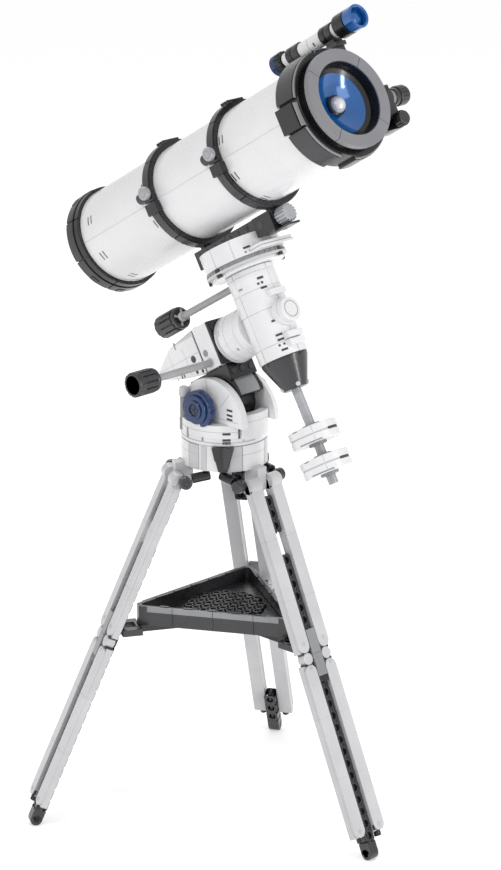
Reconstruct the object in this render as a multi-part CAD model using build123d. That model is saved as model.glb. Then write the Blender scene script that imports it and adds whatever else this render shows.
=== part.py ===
from build123d import *
import os

# A toy-brick model of a Newtonian telescope on a German equatorial mount and a tripod.
# Row frame: millimetres, +Z up, floor at z = 0, +X towards the leg that the tube points over.
# The origin is the middle of the floor space that the whole object covers.
# The tripod's own upright axis stands at TRIPOD_X, TRIPOD_Y.
#
# Two local frames are used:
#   head frame: origin on the latitude axle, x along the polar axis, z along the declination axis
#   leg frame:  origin where the leg's line meets the floor, x out of its face, z up along it

STUD = 8.0
GAP = 0.3
FIT = 0.05
TRIPOD_X = -6.0
TRIPOD_Y = 0.0

# Tripod
LEG_ANGLES = {"front": 0.0, "rear": 120.0, "side": 240.0}
SPLAY = 23.63
FOOT_RADIUS = 132.4
FOOT_ROUND = 4.0
FOOT_W = 4.25
BEAM_HALF = 4.0
BEAM_LINE = -0.6
BEAM_TOPS = {"front": 207.0, "rear": 41.0, "side": 207.0}
UPPER_BEAM = (219.5, 243.0)
RAIL_INNER = 4.3
RAIL_OUTER = 13.5
RAIL_BACK = -0.8
RAIL_FRONT = 6.0
RAIL_BOTTOM = 17.0
RAIL_TOP = 257.0
SPLICE = 136.0
SPLICE_HALF = 4.0
HUB_RADIUS = 28.0
HUB_BOTTOM = 240.0
HUB_TOP = 257.0
LEG_BOLT = 253.7
LEG_BOLT_RADIUS = 2.4
LEG_BOLT_REACH = 21.0
TRAY_TOP = 146.0
TRAY_DEPTH = 13.0
TRAY_CORNER = 64.0
TRAY_TRIM = 59.0
TRAY_RIM = 3.0
SPREADER_REACH = 74.0

# Azimuth head, upright frame on the tripod's axis
DRUM_RADIUS = 28.0
DRUM_BOTTOM = HUB_TOP + GAP
DRUM_TOP = 271.0
DRUM_FLOOR = 262.0
AZIMUTH_BOLT = 4.0
PIVOT_X = 2.0
PIVOT_Z = 280.0
EAR_INNER = 12.3
EAR_OUTER = {-1: 18.0, 1: 15.5}
EAR_RADIUS = 28.0
EAR_CENTRE = (6.0, 271.0)
AXLE_RADIUS = 2.4
KNOB_NEAR = 22.0
KNOB_FAR = 30.0
KNOB_RADIUS = 12.6
POST_SPOT = (-15.0, -21.5)
POST_RADIUS = 3.0
POST_BOTTOM = 262.0
POST_TOP = 291.0

# Polar (right ascension) assembly, head frame
LATITUDE = 31.0
BLOCK_RADIUS = 15.0
SECTOR_RADIUS = 24.5
BLOCK_HALF = 11.7
POLAR_W = 32.6
POLAR_HALF = 16.0
POLAR_LOW = 19.6
POLAR_FRONT = 25.0
POLAR_FACE = 27.0
POLAR_SEAM = 10.0
POLAR_CHAMFER = 6.0
POLAR_SHAFT = 4.0
WHEEL_RADIUS = 5.8
POLAR_WORM = (16.4, POLAR_W - 8.8)
WORM_RADIUS = 2.4
DRUM_FACE = POLAR_FACE + GAP

# Declination assembly, head frame
DEC_U = 64.0
DEC_HALF = 16.0
DEC_BOTTOM = POLAR_W - 26.0
DEC_TOP = POLAR_W + 33.5
DEC_SHAFT = 4.0
DEC_WHEEL = 5.8
DEC_WORM_Y = -9.0
DEC_WORM_W = POLAR_W + 27.3
DEC_DRUM_RADIUS = 26.0
TURNTABLE_RADIUS = 27.0
BAR_LOW = POLAR_W + 53.0
BAR_HIGH = POLAR_W + 59.8
CONE_TIP = POLAR_W - 46.5
SHAFT_RADIUS = 3.3
SHAFT_END = POLAR_W - 111.0
WEIGHT_RADIUS = 16.0
WEIGHT_HEIGHT = 11.0
WEIGHT_MIDDLES = {"upper": POLAR_W - 77.7, "lower": POLAR_W - 97.8}
KNOB_LINE = POLAR_W + 53.7
KNOB_PIN = 1.5

# Optical tube, head frame, around the line y = 0, w = TUBE_W
TUBE_W = POLAR_W + 12 * STUD
TUBE_RADIUS = 4 * STUD
TUBE_BORE = 28.0
FACE_U = DEC_U + 138.0
TUBE_REAR = DEC_U - 99.8
CAP_REAR = DEC_U - 112.0
CAP_RADIUS = 35.0
COLLAR_REAR = DEC_U + 111.5
COLLAR_FRONT = DEC_U + 130.0
COLLAR_RADIUS = 36.5
RING_WIDTH = STUD
RING_OUTER = 36.0
RING_REARS = {"rear": DEC_U - 27.2, "front": DEC_U + 40.5}
RING_HINGE_Y = 40.5
RING_BOLT = (6.0, 6.3)
RING_FACE_Y = -37.0
FINDER_Y = 20.0
FINDER_W = TUBE_W + 45.0
FOCUSER_U = DEC_U + 120.0
FOCUSER_W = TUBE_W - 1.5
FOCUS_KNOB = (42.0, FOCUSER_W - 17.0)


def rod(radius, start, end):
    """A solid cylinder from one point to another."""
    line = Vector(*end) - Vector(*start)
    return Part() + Solid.make_cylinder(radius, line.length, Plane(origin=start, z_dir=line))


def taper(start_radius, end_radius, start, end):
    """A cone frustum from one point to another."""
    line = Vector(*end) - Vector(*start)
    plane = Plane(origin=start, z_dir=line)
    return Part() + Solid.make_cone(start_radius, end_radius, line.length, plane)


def pipe(outer, inner, start, end):
    """A round tube from one point to another."""
    return rod(outer, start, end) - rod(inner, start, end)


def block(x, y, z):
    """A box from three (low, high) pairs."""
    size = Box(x[1] - x[0], y[1] - y[0], z[1] - z[0])
    return Pos((x[0] + x[1]) / 2, (y[0] + y[1]) / 2, (z[0] + z[1]) / 2) * size


def slab(outline, low, high):
    """An outline in the x-z plane, extruded in y from low to high."""
    face = Plane.XZ.offset(-low) * make_face(Polyline(*outline, close=True))
    return extrude(face, -(high - low))


def upright(shape):
    """From the tripod's axis to the row frame."""
    return Pos(TRIPOD_X, TRIPOD_Y, 0) * shape


def head(shape):
    """From the head frame to the row frame."""
    return upright(Pos(PIVOT_X, 0, PIVOT_Z) * Rot(0, -LATITUDE, 0) * shape)


def leg(shape, angle):
    """From the leg frame to the row frame, for the leg at this angle about the tripod's axis."""
    place = Rot(0, 0, angle) * Pos(FOOT_RADIUS, 0, 0) * Rot(0, -SPLAY, 0)
    return upright(place * shape)


def save(name, *pieces):
    """Writes one node, whose solids are the solids of all its pieces."""
    solids = [solid for piece in pieces for solid in piece.solids()]
    export_step(solids[0] if len(solids) == 1 else Compound(solids), f"parts/{name}.step")


# Tripod


def leg_rails():
    """Two light rails, each in an upper and a lower length."""
    pieces = []
    depth = (RAIL_BACK, RAIL_FRONT)
    for side in (-1, 1):
        across = sorted((side * RAIL_INNER, side * RAIL_OUTER))
        pieces.append(block(depth, across, (RAIL_BOTTOM, SPLICE - SPLICE_HALF)))
        upper = block(depth, across, (SPLICE + SPLICE_HALF, RAIL_TOP))
        pieces.append(upper - rod(LEG_BOLT_RADIUS, (0, -30, LEG_BOLT), (0, 30, LEG_BOLT)))
    return pieces


def leg_beam(angle, top):
    """The dark inner beam between the rails, rounded at the foot and cut flat where it stands."""
    depth = (BEAM_LINE - FOOT_ROUND, BEAM_LINE + FOOT_ROUND)
    beam = block(depth, (-BEAM_HALF, BEAM_HALF), (FOOT_W, top))
    beam += rod(FOOT_ROUND, (BEAM_LINE, -BEAM_HALF, FOOT_W), (BEAM_LINE, BEAM_HALF, FOOT_W))
    floor = upright(block((-200, 200), (-200, 200), (-20, 0)))
    return leg(beam, angle) - floor


def splice_connectors():
    """Round connectors in the gap between a rail's two lengths."""
    low, high = RAIL_BACK + 0.5, RAIL_FRONT - 0.5
    return [rod(SPLICE_HALF, (low, side * STUD, SPLICE), (high, side * STUD, SPLICE))
            for side in (-1, 1)]


def leg_dark_pins():
    """The foot pins, the long hinge bolt and the fixed upper beam of one leg."""
    pieces = []
    middle = (RAIL_BACK + RAIL_FRONT) / 2
    for side in (-1, 1):
        spot = (middle, side * STUD)
        pieces.append(rod(2.4, (*spot, RAIL_BOTTOM - 3.5), (*spot, RAIL_BOTTOM)))
    bolt = rod(LEG_BOLT_RADIUS, (0, -RAIL_OUTER, LEG_BOLT), (0, RAIL_OUTER, LEG_BOLT))
    for side in (-1, 1):
        near, far = side * RAIL_OUTER, side * LEG_BOLT_REACH
        bolt += rod(4.0, (0, near, LEG_BOLT), (0, far, LEG_BOLT))
    depth = (BEAM_LINE - FOOT_ROUND, BEAM_LINE + FOOT_ROUND)
    return pieces + [bolt, block(depth, (-BEAM_HALF, BEAM_HALF), UPPER_BEAM)]


def hub_links():
    """The two dark links that run from a leg's bolt heads inward under the hub's edge."""
    return [rod(3.4, (26.2, side * 17.2, 234.6), (14.5, side * 17.2, 236.2)) for side in (-1, 1)]


def clamp_tile():
    """The flat tile that closes the channel in front of the beam at mid leg."""
    front = (BEAM_LINE + FOOT_ROUND + GAP, RAIL_FRONT + 0.5)
    return block(front, (-3.9, 3.9), (SPLICE - 17, SPLICE + 18))


def hub():
    """The light round hub with one lug between the rails of each leg."""
    body = rod(HUB_RADIUS, (0, 0, HUB_BOTTOM), (0, 0, HUB_TOP))
    for angle in LEG_ANGLES.values():
        body += Rot(0, 0, angle) * block((22, 34), (-4, 4), (226.5, HUB_BOTTOM))
    body = upright(body - rod(AZIMUTH_BOLT, (0, 0, HUB_BOTTOM - 1), (0, 0, HUB_TOP + 1)))
    for angle in LEG_ANGLES.values():
        body -= leg(rod(LEG_BOLT_RADIUS, (0, -9, LEG_BOLT), (0, 9, LEG_BOLT)), angle)
    return body


def hub_block(angle):
    """The dark tapered block on the hub's wall, between two legs."""
    outline = [(-7.5, HUB_TOP), (7.5, HUB_TOP), (3.0, HUB_BOTTOM), (-3.0, HUB_BOTTOM)]
    piece = Rot(0, 0, 90) * slab(outline, -HUB_RADIUS - 3.0, -HUB_RADIUS + 3.5)
    piece -= rod(HUB_RADIUS, (0, 0, HUB_BOTTOM - 5), (0, 0, HUB_TOP + 1))
    return upright(Rot(0, 0, angle) * piece)


def azimuth_bolt():
    """The bolt that the azimuth head turns on, with its head under the hub."""
    shank = rod(AZIMUTH_BOLT, (0, 0, HUB_BOTTOM), (0, 0, DRUM_FLOOR - 0.5))
    return upright(shank + rod(9.0, (0, 0, HUB_BOTTOM - 5), (0, 0, HUB_BOTTOM)))


def triangle(corner, low, high):
    """A triangular slab with its corners pointing at the legs."""
    outline = RegularPolygon(corner, 3, major_radius=True, rotation=0)
    return upright(Pos(0, 0, low) * extrude(outline, high - low))


def corner_trim():
    """What rounds off the tray's three points."""
    return upright(rod(TRAY_TRIM, (0, 0, TRAY_TOP - 30), (0, 0, TRAY_TOP + 10)))


def tray_frame():
    """The tray's raised rim and its floor."""
    low = TRAY_TOP - TRAY_DEPTH
    frame = triangle(TRAY_CORNER, low, TRAY_TOP) & corner_trim()
    well = triangle(TRAY_CORNER - 2 * TRAY_RIM, low + 5.0, TRAY_TOP + 1)
    return frame - (well & upright(rod(TRAY_TRIM - TRAY_RIM, (0, 0, 100), (0, 0, 200))))


def tray_grille():
    """The perforated mat that lies on the tray's floor, a ring of round pockets."""
    low = TRAY_TOP - TRAY_DEPTH + 5.0
    mat = upright(rod(17.0, (0, 0, low), (0, 0, low + 2.5)))
    for index in range(6):
        spot = Rot(0, 0, 60 * index) * Pos(10.5, 0, low + 0.8) * Solid.make_cylinder(3.4, 5)
        mat -= upright(spot)
    return mat - upright(Pos(0, 0, low + 0.8) * Solid.make_cylinder(3.4, 5))


def spreader():
    """Three arms under the tray, each ending in a forked cross bar against a leg's rails."""
    top = TRAY_TOP - TRAY_DEPTH
    fork, reach = BEAM_HALF + GAP, SPREADER_REACH
    plate = upright(rod(12.0, (0, 0, top - 5), (0, 0, top)))
    for angle in LEG_ANGLES.values():
        arm = block((0, reach - 14), (-4, 4), (top - 5, top))
        bar = block((reach - 16, reach + 4), (-11, 11), (top - 5, top))
        bar -= block((reach - 13, reach + 9), (-fork, fork), (top - 6, top + 1))
        plate += upright(Rot(0, 0, angle) * (arm + bar))
    for angle in LEG_ANGLES.values():
        plate -= leg(block((RAIL_BACK, 40), (-60, 60), (60, 230)), angle)
    return plate


# Azimuth head


def head_sweep():
    """The round space that the latitude block swings through."""
    start, end = (PIVOT_X, -EAR_INNER, PIVOT_Z), (PIVOT_X, EAR_INNER, PIVOT_Z)
    return rod(SECTOR_RADIUS + GAP, start, end)


def azimuth_drum():
    """The white drum that turns on the hub, open between the ears, with a lip in front."""
    body = rod(DRUM_RADIUS, (0, 0, DRUM_BOTTOM), (0, 0, DRUM_TOP))
    body -= block((-40, 40), (-EAR_INNER, EAR_INNER), (DRUM_FLOOR, DRUM_TOP + 1))
    body -= rod(AZIMUTH_BOLT + FIT, (0, 0, DRUM_BOTTOM - 1), (0, 0, DRUM_FLOOR + 1))
    body -= rod(POST_RADIUS, (*POST_SPOT, POST_BOTTOM), (*POST_SPOT, POST_TOP))
    lip = rod(DRUM_RADIUS + 2.5, (0, 0, DRUM_FLOOR), (0, 0, PIVOT_Z - 2))
    body += lip & block((24, 40), (-EAR_INNER, EAR_INNER), (DRUM_FLOOR, PIVOT_Z))
    for side in (-1, 1):
        body -= rod(KNOB_RADIUS + 0.6, (PIVOT_X, side * 20, PIVOT_Z), (PIVOT_X, side * 40, PIVOT_Z))
    return upright(body - head_sweep())


def fork_ear(side):
    """One round-topped plate that holds the latitude axle."""
    near, far = sorted((side * EAR_INNER, side * EAR_OUTER[side]))
    x, z = EAR_CENTRE
    disc = rod(EAR_RADIUS, (x, near, z), (x, far, z))
    plate = disc - block((-60, 60), (near - 1, far + 1), (z - 60, DRUM_TOP))
    return upright(plate - rod(AXLE_RADIUS, (PIVOT_X, -40, PIVOT_Z), (PIVOT_X, 40, PIVOT_Z)))


def lobed_knob(side):
    """A flower-shaped clamp knob on the end of the latitude axle."""
    near, far = side * KNOB_NEAR, side * KNOB_FAR
    body = rod(10.6, (0, near, 0), (0, far, 0))
    for index in range(8):
        spot = KNOB_RADIUS - 3.4
        body += Rot(0, 45 * index + 22.5, 0) * rod(3.4, (spot, near, 0), (spot, far, 0))
    body -= rod(AXLE_RADIUS + FIT, (0, near - side, 0), (0, side * (KNOB_FAR - 2), 0))
    return upright(Pos(PIVOT_X, 0, PIVOT_Z) * body)


def lock_post():
    """The upright adjusting post beside the near ear, with a round cap."""
    post = rod(POST_RADIUS, (*POST_SPOT, POST_BOTTOM), (*POST_SPOT, POST_TOP))
    return upright(post + rod(3.4, (*POST_SPOT, POST_TOP - 5), (*POST_SPOT, POST_TOP)))


# Polar assembly


def latitude_block():
    """The block between the ears: a round hub, a wide front sector and a neck to the housing."""
    body = rod(BLOCK_RADIUS, (0, -BLOCK_HALF, 0), (0, BLOCK_HALF, 0))
    sector = rod(SECTOR_RADIUS, (0, -BLOCK_HALF, 0), (0, BLOCK_HALF, 0))
    body += sector & block((-8, 30), (-BLOCK_HALF, BLOCK_HALF), (-3, POLAR_LOW))
    body += block((-13, POLAR_FRONT), (-BLOCK_HALF, BLOCK_HALF), (9, POLAR_LOW))
    return head(body - rod(AXLE_RADIUS + FIT, (0, -20, 0), (0, 20, 0)))


def polar_housing():
    """The polar housing and its tapering tail, bored for the shaft, worm wheel and worm."""
    top, low = POLAR_W + 16.0, POLAR_LOW
    body = block((POLAR_SEAM, POLAR_FRONT), (-POLAR_HALF, POLAR_HALF), (low, top))
    outline = [(POLAR_SEAM, low), (POLAR_SEAM, top + 1.5), (DEC_U - 80, POLAR_W + 11.7)]
    outline += [(DEC_U - 96.5, POLAR_W + 2), (DEC_U - 96.5, POLAR_W - 4)]
    outline += [(DEC_U - 77, low + 3), (DEC_U - 60, low)]
    edge = POLAR_HALF - POLAR_CHAMFER
    section = [(-POLAR_HALF, low - 1), (POLAR_HALF, low - 1), (POLAR_HALF, top - 4)]
    section += [(edge, top + 2), (-edge, top + 2), (-POLAR_HALF, top - 4)]
    limit = extrude(Plane.YZ * make_face(Polyline(*section, close=True)), 80)
    body += slab(outline, -POLAR_HALF, POLAR_HALF) & (Pos(-60, 0, 0) * limit)
    worm_u, worm_w = POLAR_WORM
    body -= rod(POLAR_SHAFT + FIT, (-8, 0, POLAR_W), (40, 0, POLAR_W))
    body -= rod(WHEEL_RADIUS + GAP, (worm_u - 3.3, 0, POLAR_W), (worm_u + 3.3, 0, POLAR_W))
    body -= rod(WORM_RADIUS + FIT, (worm_u, -20, worm_w), (worm_u, 5.3, worm_w))
    return head(body)


def polar_front_plate():
    """The dark plate on the front of the polar housing."""
    span = (-POLAR_HALF, POLAR_HALF)
    plate = block((POLAR_FRONT, POLAR_FACE), span, (POLAR_LOW, POLAR_W + 16))
    return head(plate - rod(POLAR_SHAFT + FIT, (20, 0, POLAR_W), (40, 0, POLAR_W)))


def slow_rod(start, end):
    """A slow-motion rod whose inner end is the worm."""
    return head(rod(WORM_RADIUS, start, end))


def slow_knob(start, end, radius):
    """A cylinder knob on a slow-motion rod."""
    return head(rod(radius, start, end))


def polar_shaft():
    """The polar shaft with its worm wheel."""
    worm_u = POLAR_WORM[0]
    shaft = rod(POLAR_SHAFT, (-7, 0, POLAR_W), (DRUM_FACE, 0, POLAR_W))
    return head(shaft + rod(WHEEL_RADIUS, (worm_u - 3, 0, POLAR_W), (worm_u + 3, 0, POLAR_W)))


def polar_drum():
    """The white drum on the polar shaft that carries the declination housing."""
    drum = rod(DEC_HALF, (DRUM_FACE, 0, POLAR_W), (DEC_U - 5, 0, POLAR_W))
    return head(drum - rod(DEC_HALF, (DEC_U, 0, DEC_BOTTOM - 30), (DEC_U, 0, DEC_TOP + 30)))


# Declination assembly


def dec_housing():
    """The declination housing with its round front cap, bored for its shaft, wheel and worm."""
    body = rod(DEC_HALF, (DEC_U, 0, DEC_BOTTOM), (DEC_U, 0, DEC_TOP))
    body += rod(8.0, (DEC_U, 0, POLAR_W), (DEC_U + DEC_HALF + 7, 0, POLAR_W))
    body -= rod(DEC_SHAFT + FIT, (DEC_U, 0, DEC_BOTTOM + 10), (DEC_U, 0, DEC_TOP + 1))
    body -= rod(DEC_WHEEL + GAP, (DEC_U, 0, DEC_WORM_W - 3.3), (DEC_U, 0, DEC_WORM_W + 3.3))
    start, end = (DEC_U - 25, DEC_WORM_Y, DEC_WORM_W), (DEC_U + 3.3, DEC_WORM_Y, DEC_WORM_W)
    return head(body - rod(WORM_RADIUS + FIT, start, end))


def counterweight_cone():
    """The dark cone that the counterweight shaft screws into."""
    cone = taper(15.5, 8.0, (DEC_U, 0, DEC_BOTTOM), (DEC_U, 0, CONE_TIP))
    return head(cone - rod(SHAFT_RADIUS, (DEC_U, 0, CONE_TIP - 1), (DEC_U, 0, CONE_TIP + 12)))


def counterweight_shaft():
    """The counterweight shaft, with its end stop."""
    shaft = rod(SHAFT_RADIUS, (DEC_U, 0, CONE_TIP + 12), (DEC_U, 0, SHAFT_END))
    return head(shaft)


def counterweight(middle):
    """A round weight with a small collar on each face, free to slide on the shaft."""
    half = WEIGHT_HEIGHT / 2
    weight = rod(WEIGHT_RADIUS, (DEC_U, 0, middle - half), (DEC_U, 0, middle + half))
    weight += rod(6.0, (DEC_U, 0, middle - half - 1.5), (DEC_U, 0, middle + half + 1.5))
    return head(weight - rod(SHAFT_RADIUS + FIT, (DEC_U, 0, middle - 9), (DEC_U, 0, middle + 9)))


def dec_turntable():
    """The grey turntable ring."""
    low, high = DEC_TOP + GAP, POLAR_W + 40.0
    return head(rod(TURNTABLE_RADIUS, (DEC_U, 0, low), (DEC_U, 0, high)))


def dec_shaft():
    """The declination shaft with its worm wheel."""
    shaft = rod(DEC_SHAFT, (DEC_U, 0, DEC_BOTTOM + 12), (DEC_U, 0, DEC_TOP + GAP))
    return head(shaft + rod(DEC_WHEEL, (DEC_U, 0, DEC_WORM_W - 3), (DEC_U, 0, DEC_WORM_W + 3)))


def dec_drum():
    """The white drum between the turntable and the saddle, with a square plate in front."""
    low = POLAR_W + 40.0
    drum = rod(DEC_DRUM_RADIUS, (DEC_U, 0, low), (DEC_U, 0, BAR_LOW))
    return head(drum + block((DEC_U, DEC_U + 34), (-14, 14), (low, low + 4)))


def dovetail_bar():
    """The dark saddle bar under both tube rings, with a hooked rear end."""
    bar = block((DEC_U - 35, DEC_U + 44), (-6, 6), (BAR_LOW, BAR_HIGH))
    bar += block((DEC_U - 35, DEC_U - 28), (-6, 6), (POLAR_W + 47.6, BAR_LOW))
    return head(bar - knob_bore((DEC_U + 39, 0, KNOB_LINE), (DEC_U + 45, 0, KNOB_LINE)))


def saddle_clamp():
    """The dark clamp block round the bar's front end, and the shelf under its knob."""
    low = POLAR_W + 47.3
    body = block((DEC_U + 27, DEC_U + 44), (-8, 8), (low, BAR_HIGH))
    body -= block((DEC_U + 20, DEC_U + 50), (-6, 6), (BAR_LOW, BAR_HIGH + 1))
    body += block((DEC_U + 40, DEC_U + 54.5), (-5, 5), (low - 1.5, low))
    return head(body - knob_bore((DEC_U + 39, 0, KNOB_LINE), (DEC_U + 45, 0, KNOB_LINE)))


def saddle_knob():
    """The ribbed knob in front of the saddle clamp, with its pin in the bar's end."""
    knob = rod(6.0, (DEC_U + 44.3, 0, KNOB_LINE), (DEC_U + 54, 0, KNOB_LINE))
    return head(knob + rod(KNOB_PIN, (DEC_U + 40, 0, KNOB_LINE), (DEC_U + 50, 0, KNOB_LINE)))


# Tube rings


def knob_bore(start, end):
    """The running hole for a small knob's pin."""
    return rod(KNOB_PIN + FIT, start, end)


def half_ring(start, upper):
    """Half of a tube ring, split on the level of the tube's axis."""
    end = start + RING_WIDTH
    ring = pipe(RING_OUTER, TUBE_RADIUS + FIT, (start, 0, TUBE_W), (end, 0, TUBE_W))
    if upper:
        return ring - block((start - 1, end + 1), (-60, 60), (TUBE_W - 60, TUBE_W + 0.15))
    return ring - block((start - 1, end + 1), (-60, 60), (TUBE_W - 0.15, TUBE_W + 60))


def ring_upper(start):
    """The opening half: hinge barrel on the far side, clamp lug on the near side, clip on top."""
    end = start + RING_WIDTH
    hinge = (start + 2.8, end - 2.8)
    body = half_ring(start, True)
    body += block((start, end), (-10, 6), (TUBE_W + RING_OUTER - 4, TUBE_W + RING_OUTER + 0.8))
    lug = (TUBE_W + 0.15, TUBE_W + 10.0)
    body += block((start, end + 1), (RING_FACE_Y, -RING_OUTER + 4), lug)
    body += rod(3.8, (start - 5, RING_FACE_Y + 2.8, lug[0] + 5), (start, RING_FACE_Y + 2.8, lug[0] + 5))
    body += block(hinge, (RING_OUTER - 2, RING_HINGE_Y), (TUBE_W + 0.15, TUBE_W + 2.6))
    body += rod(2.6, (hinge[0], RING_HINGE_Y, TUBE_W), (hinge[1], RING_HINGE_Y, TUBE_W))
    pin = rod(1.2 + FIT, (start, RING_HINGE_Y, TUBE_W), (end, RING_HINGE_Y, TUBE_W))
    tube = rod(TUBE_RADIUS + FIT, (start - 6, 0, TUBE_W), (end + 2, 0, TUBE_W))
    u, w = start + RING_BOLT[0], TUBE_W + RING_BOLT[1]
    return head(body - pin - tube - knob_bore((u, RING_FACE_Y - 1, w), (u, RING_FACE_Y + 3, w)))


def ring_lower(start):
    """The fixed half: foot on the bar, clamp block on the near side, hinge ears and their pin."""
    end = start + RING_WIDTH
    body = half_ring(start, False)
    body += block((start, start + 3.5), (-6, 6), (BAR_HIGH, TUBE_W - RING_OUTER + 3))
    body += block((start - 1, end + 1.5), (RING_FACE_Y, -RING_OUTER + 4), (TUBE_W - 8, TUBE_W - 0.15))
    for low, high in ((start, start + 2.5), (end - 2.5, end)):
        ear = block((low, high), (RING_OUTER - 2, RING_HINGE_Y), (TUBE_W - 2.6, TUBE_W - 0.15))
        ear += rod(2.6, (low, RING_HINGE_Y, TUBE_W), (high, RING_HINGE_Y, TUBE_W))
        body += ear
    body += rod(1.2, (start, RING_HINGE_Y, TUBE_W), (end, RING_HINGE_Y, TUBE_W))
    tube = rod(TUBE_RADIUS + FIT, (start - 2, 0, TUBE_W), (end + 2, 0, TUBE_W))
    return head(body - tube)


def ring_knob(start):
    """The round clamp knob on the near face of a ring's lug, with its pin in the lug."""
    u, w = start + RING_BOLT[0], TUBE_W + RING_BOLT[1]
    knob = rod(4.4, (u, RING_FACE_Y - GAP, w), (u, RING_FACE_Y - 4.0, w))
    return head(knob + rod(KNOB_PIN, (u, RING_FACE_Y - 1, w), (u, RING_FACE_Y + 2.5, w)))


# Optical tube


def tube_shell():
    """The white tube."""
    return head(pipe(TUBE_RADIUS, TUBE_BORE, (TUBE_REAR, 0, TUBE_W), (COLLAR_REAR, 0, TUBE_W)))


def rear_cap():
    """The dark rear cell: a band round the tube's end and a closed end plate."""
    start, end = (CAP_REAR, 0, TUBE_W), (TUBE_REAR, 0, TUBE_W)
    return head(rod(CAP_RADIUS, start, end) - rod(TUBE_BORE, (CAP_REAR + 4, 0, TUBE_W), end))


def front_collar():
    """The dark collar round the tube's mouth, with its flat side block and a thinner front."""
    start, end = (COLLAR_REAR, 0, TUBE_W), (COLLAR_FRONT, 0, TUBE_W)
    body = pipe(COLLAR_RADIUS, 26.0, start, end)
    body += pipe(30.0, 26.0, end, (FACE_U - 4, 0, TUBE_W))
    side = block((COLLAR_REAR, COLLAR_FRONT), (-38, -30), (TUBE_W - 9, TUBE_W + 8))
    return head(body + (side - rod(COLLAR_RADIUS - 1, start, end)))


def face_ring():
    """The flat grey ring at the mouth."""
    return head(pipe(TUBE_RADIUS, 3 * STUD, (FACE_U - 4, 0, TUBE_W), (FACE_U, 0, TUBE_W)))


def primary_mirror():
    """The blue dish mirror set in the mouth."""
    front = FACE_U - 7
    dish = rod(26.0, (front - 11, 0, TUBE_W), (front, 0, TUBE_W))
    return head(dish - Pos(front + 26, 0, TUBE_W) * Sphere(34))


def secondary_dome():
    """The pearl dome and its dark seat at the middle of the dish."""
    low = FACE_U - 15 + 0.63
    seat = rod(6.5, (low, 0, TUBE_W), (low + 2.6, 0, TUBE_W))
    dome = Pos(low + 2.6, 0, TUBE_W) * Rot(0, 90, 0) * Sphere(4.8, arc_size1=0)
    return head(seat), head(dome)


def finder_bracket():
    """The dark bar and foot that carry the finder above the collar."""
    across = (FINDER_Y - 4, FINDER_Y + 4)
    low, bar_low = TUBE_W + 24, FINDER_W - 10
    body = block((COLLAR_REAR + 2, COLLAR_REAR + 16), across, (low, bar_low))
    body += block((DEC_U + 82, DEC_U + 130), across, (bar_low, FINDER_W - 7))
    for u in (DEC_U + 88, DEC_U + 120):
        body += block((u, u + 8), across, (FINDER_W - 7, FINDER_W))
    body -= rod(5.8, (100, FINDER_Y, FINDER_W), (300, FINDER_Y, FINDER_W))
    return head(body - rod(COLLAR_RADIUS, (100, 0, TUBE_W), (COLLAR_FRONT, 0, TUBE_W)))


def finder_tube():
    """The finder's stepped tube, without its turning eyepiece."""
    steps = [(81, 86, 4.8), (86, 97, 5.8), (97, 118.5, 5.0), (118.5, 129, 5.8), (129, 134, 5.0)]
    steps += [(134, 152, 7.8)]
    body = None
    for low, high, radius in steps:
        start, end = (DEC_U + low, FINDER_Y, FINDER_W), (DEC_U + high, FINDER_Y, FINDER_W)
        body = rod(radius, start, end) if body is None else body + rod(radius, start, end)
    start, end = (DEC_U + 80, FINDER_Y, FINDER_W), (DEC_U + 87, FINDER_Y, FINDER_W)
    return head(body - knob_bore(start, end))


def finder_eyepiece():
    """The finder's turning eyepiece, with its pin in the finder's tube."""
    start, end = (DEC_U + 71, FINDER_Y, FINDER_W), (DEC_U + 80.7, FINDER_Y, FINDER_W)
    return head(rod(7.0, start, end) + rod(KNOB_PIN, start, (DEC_U + 86, FINDER_Y, FINDER_W)))


def focuser_base():
    """The focuser's housing on the far side of the collar."""
    body = block((FOCUSER_U - 8, FOCUSER_U + 8), (28, 48), (FOCUSER_W - 22, FOCUSER_W + 7))
    body -= rod(COLLAR_RADIUS, (100, 0, TUBE_W), (300, 0, TUBE_W))
    body -= block((FOCUSER_U - 20, FOCUSER_U + 20), (46, 60), (FOCUSER_W - 40, FOCUSER_W - 8))
    body -= rod(5.0 + FIT, (FOCUSER_U, 36, FOCUSER_W), (FOCUSER_U, 50, FOCUSER_W))
    start, end = (FOCUSER_U + 3, *FOCUS_KNOB), (FOCUSER_U + 9, *FOCUS_KNOB)
    return head(body - knob_bore(start, end))


def focuser_drawtube():
    """The drawtube with the eyepiece on its end."""
    body = rod(5.0, (FOCUSER_U, 40.5, FOCUSER_W), (FOCUSER_U, 53, FOCUSER_W))
    return head(body + rod(6.5, (FOCUSER_U, 53, FOCUSER_W), (FOCUSER_U, 65, FOCUSER_W)))


def focus_knob():
    """The focusing knob on the front of the focuser's housing, with its pin."""
    knob = rod(5.0, (FOCUSER_U + 8.3, *FOCUS_KNOB), (FOCUSER_U + 15, *FOCUS_KNOB))
    return head(knob + rod(KNOB_PIN, (FOCUSER_U + 4, *FOCUS_KNOB), (FOCUSER_U + 10, *FOCUS_KNOB)))


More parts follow.
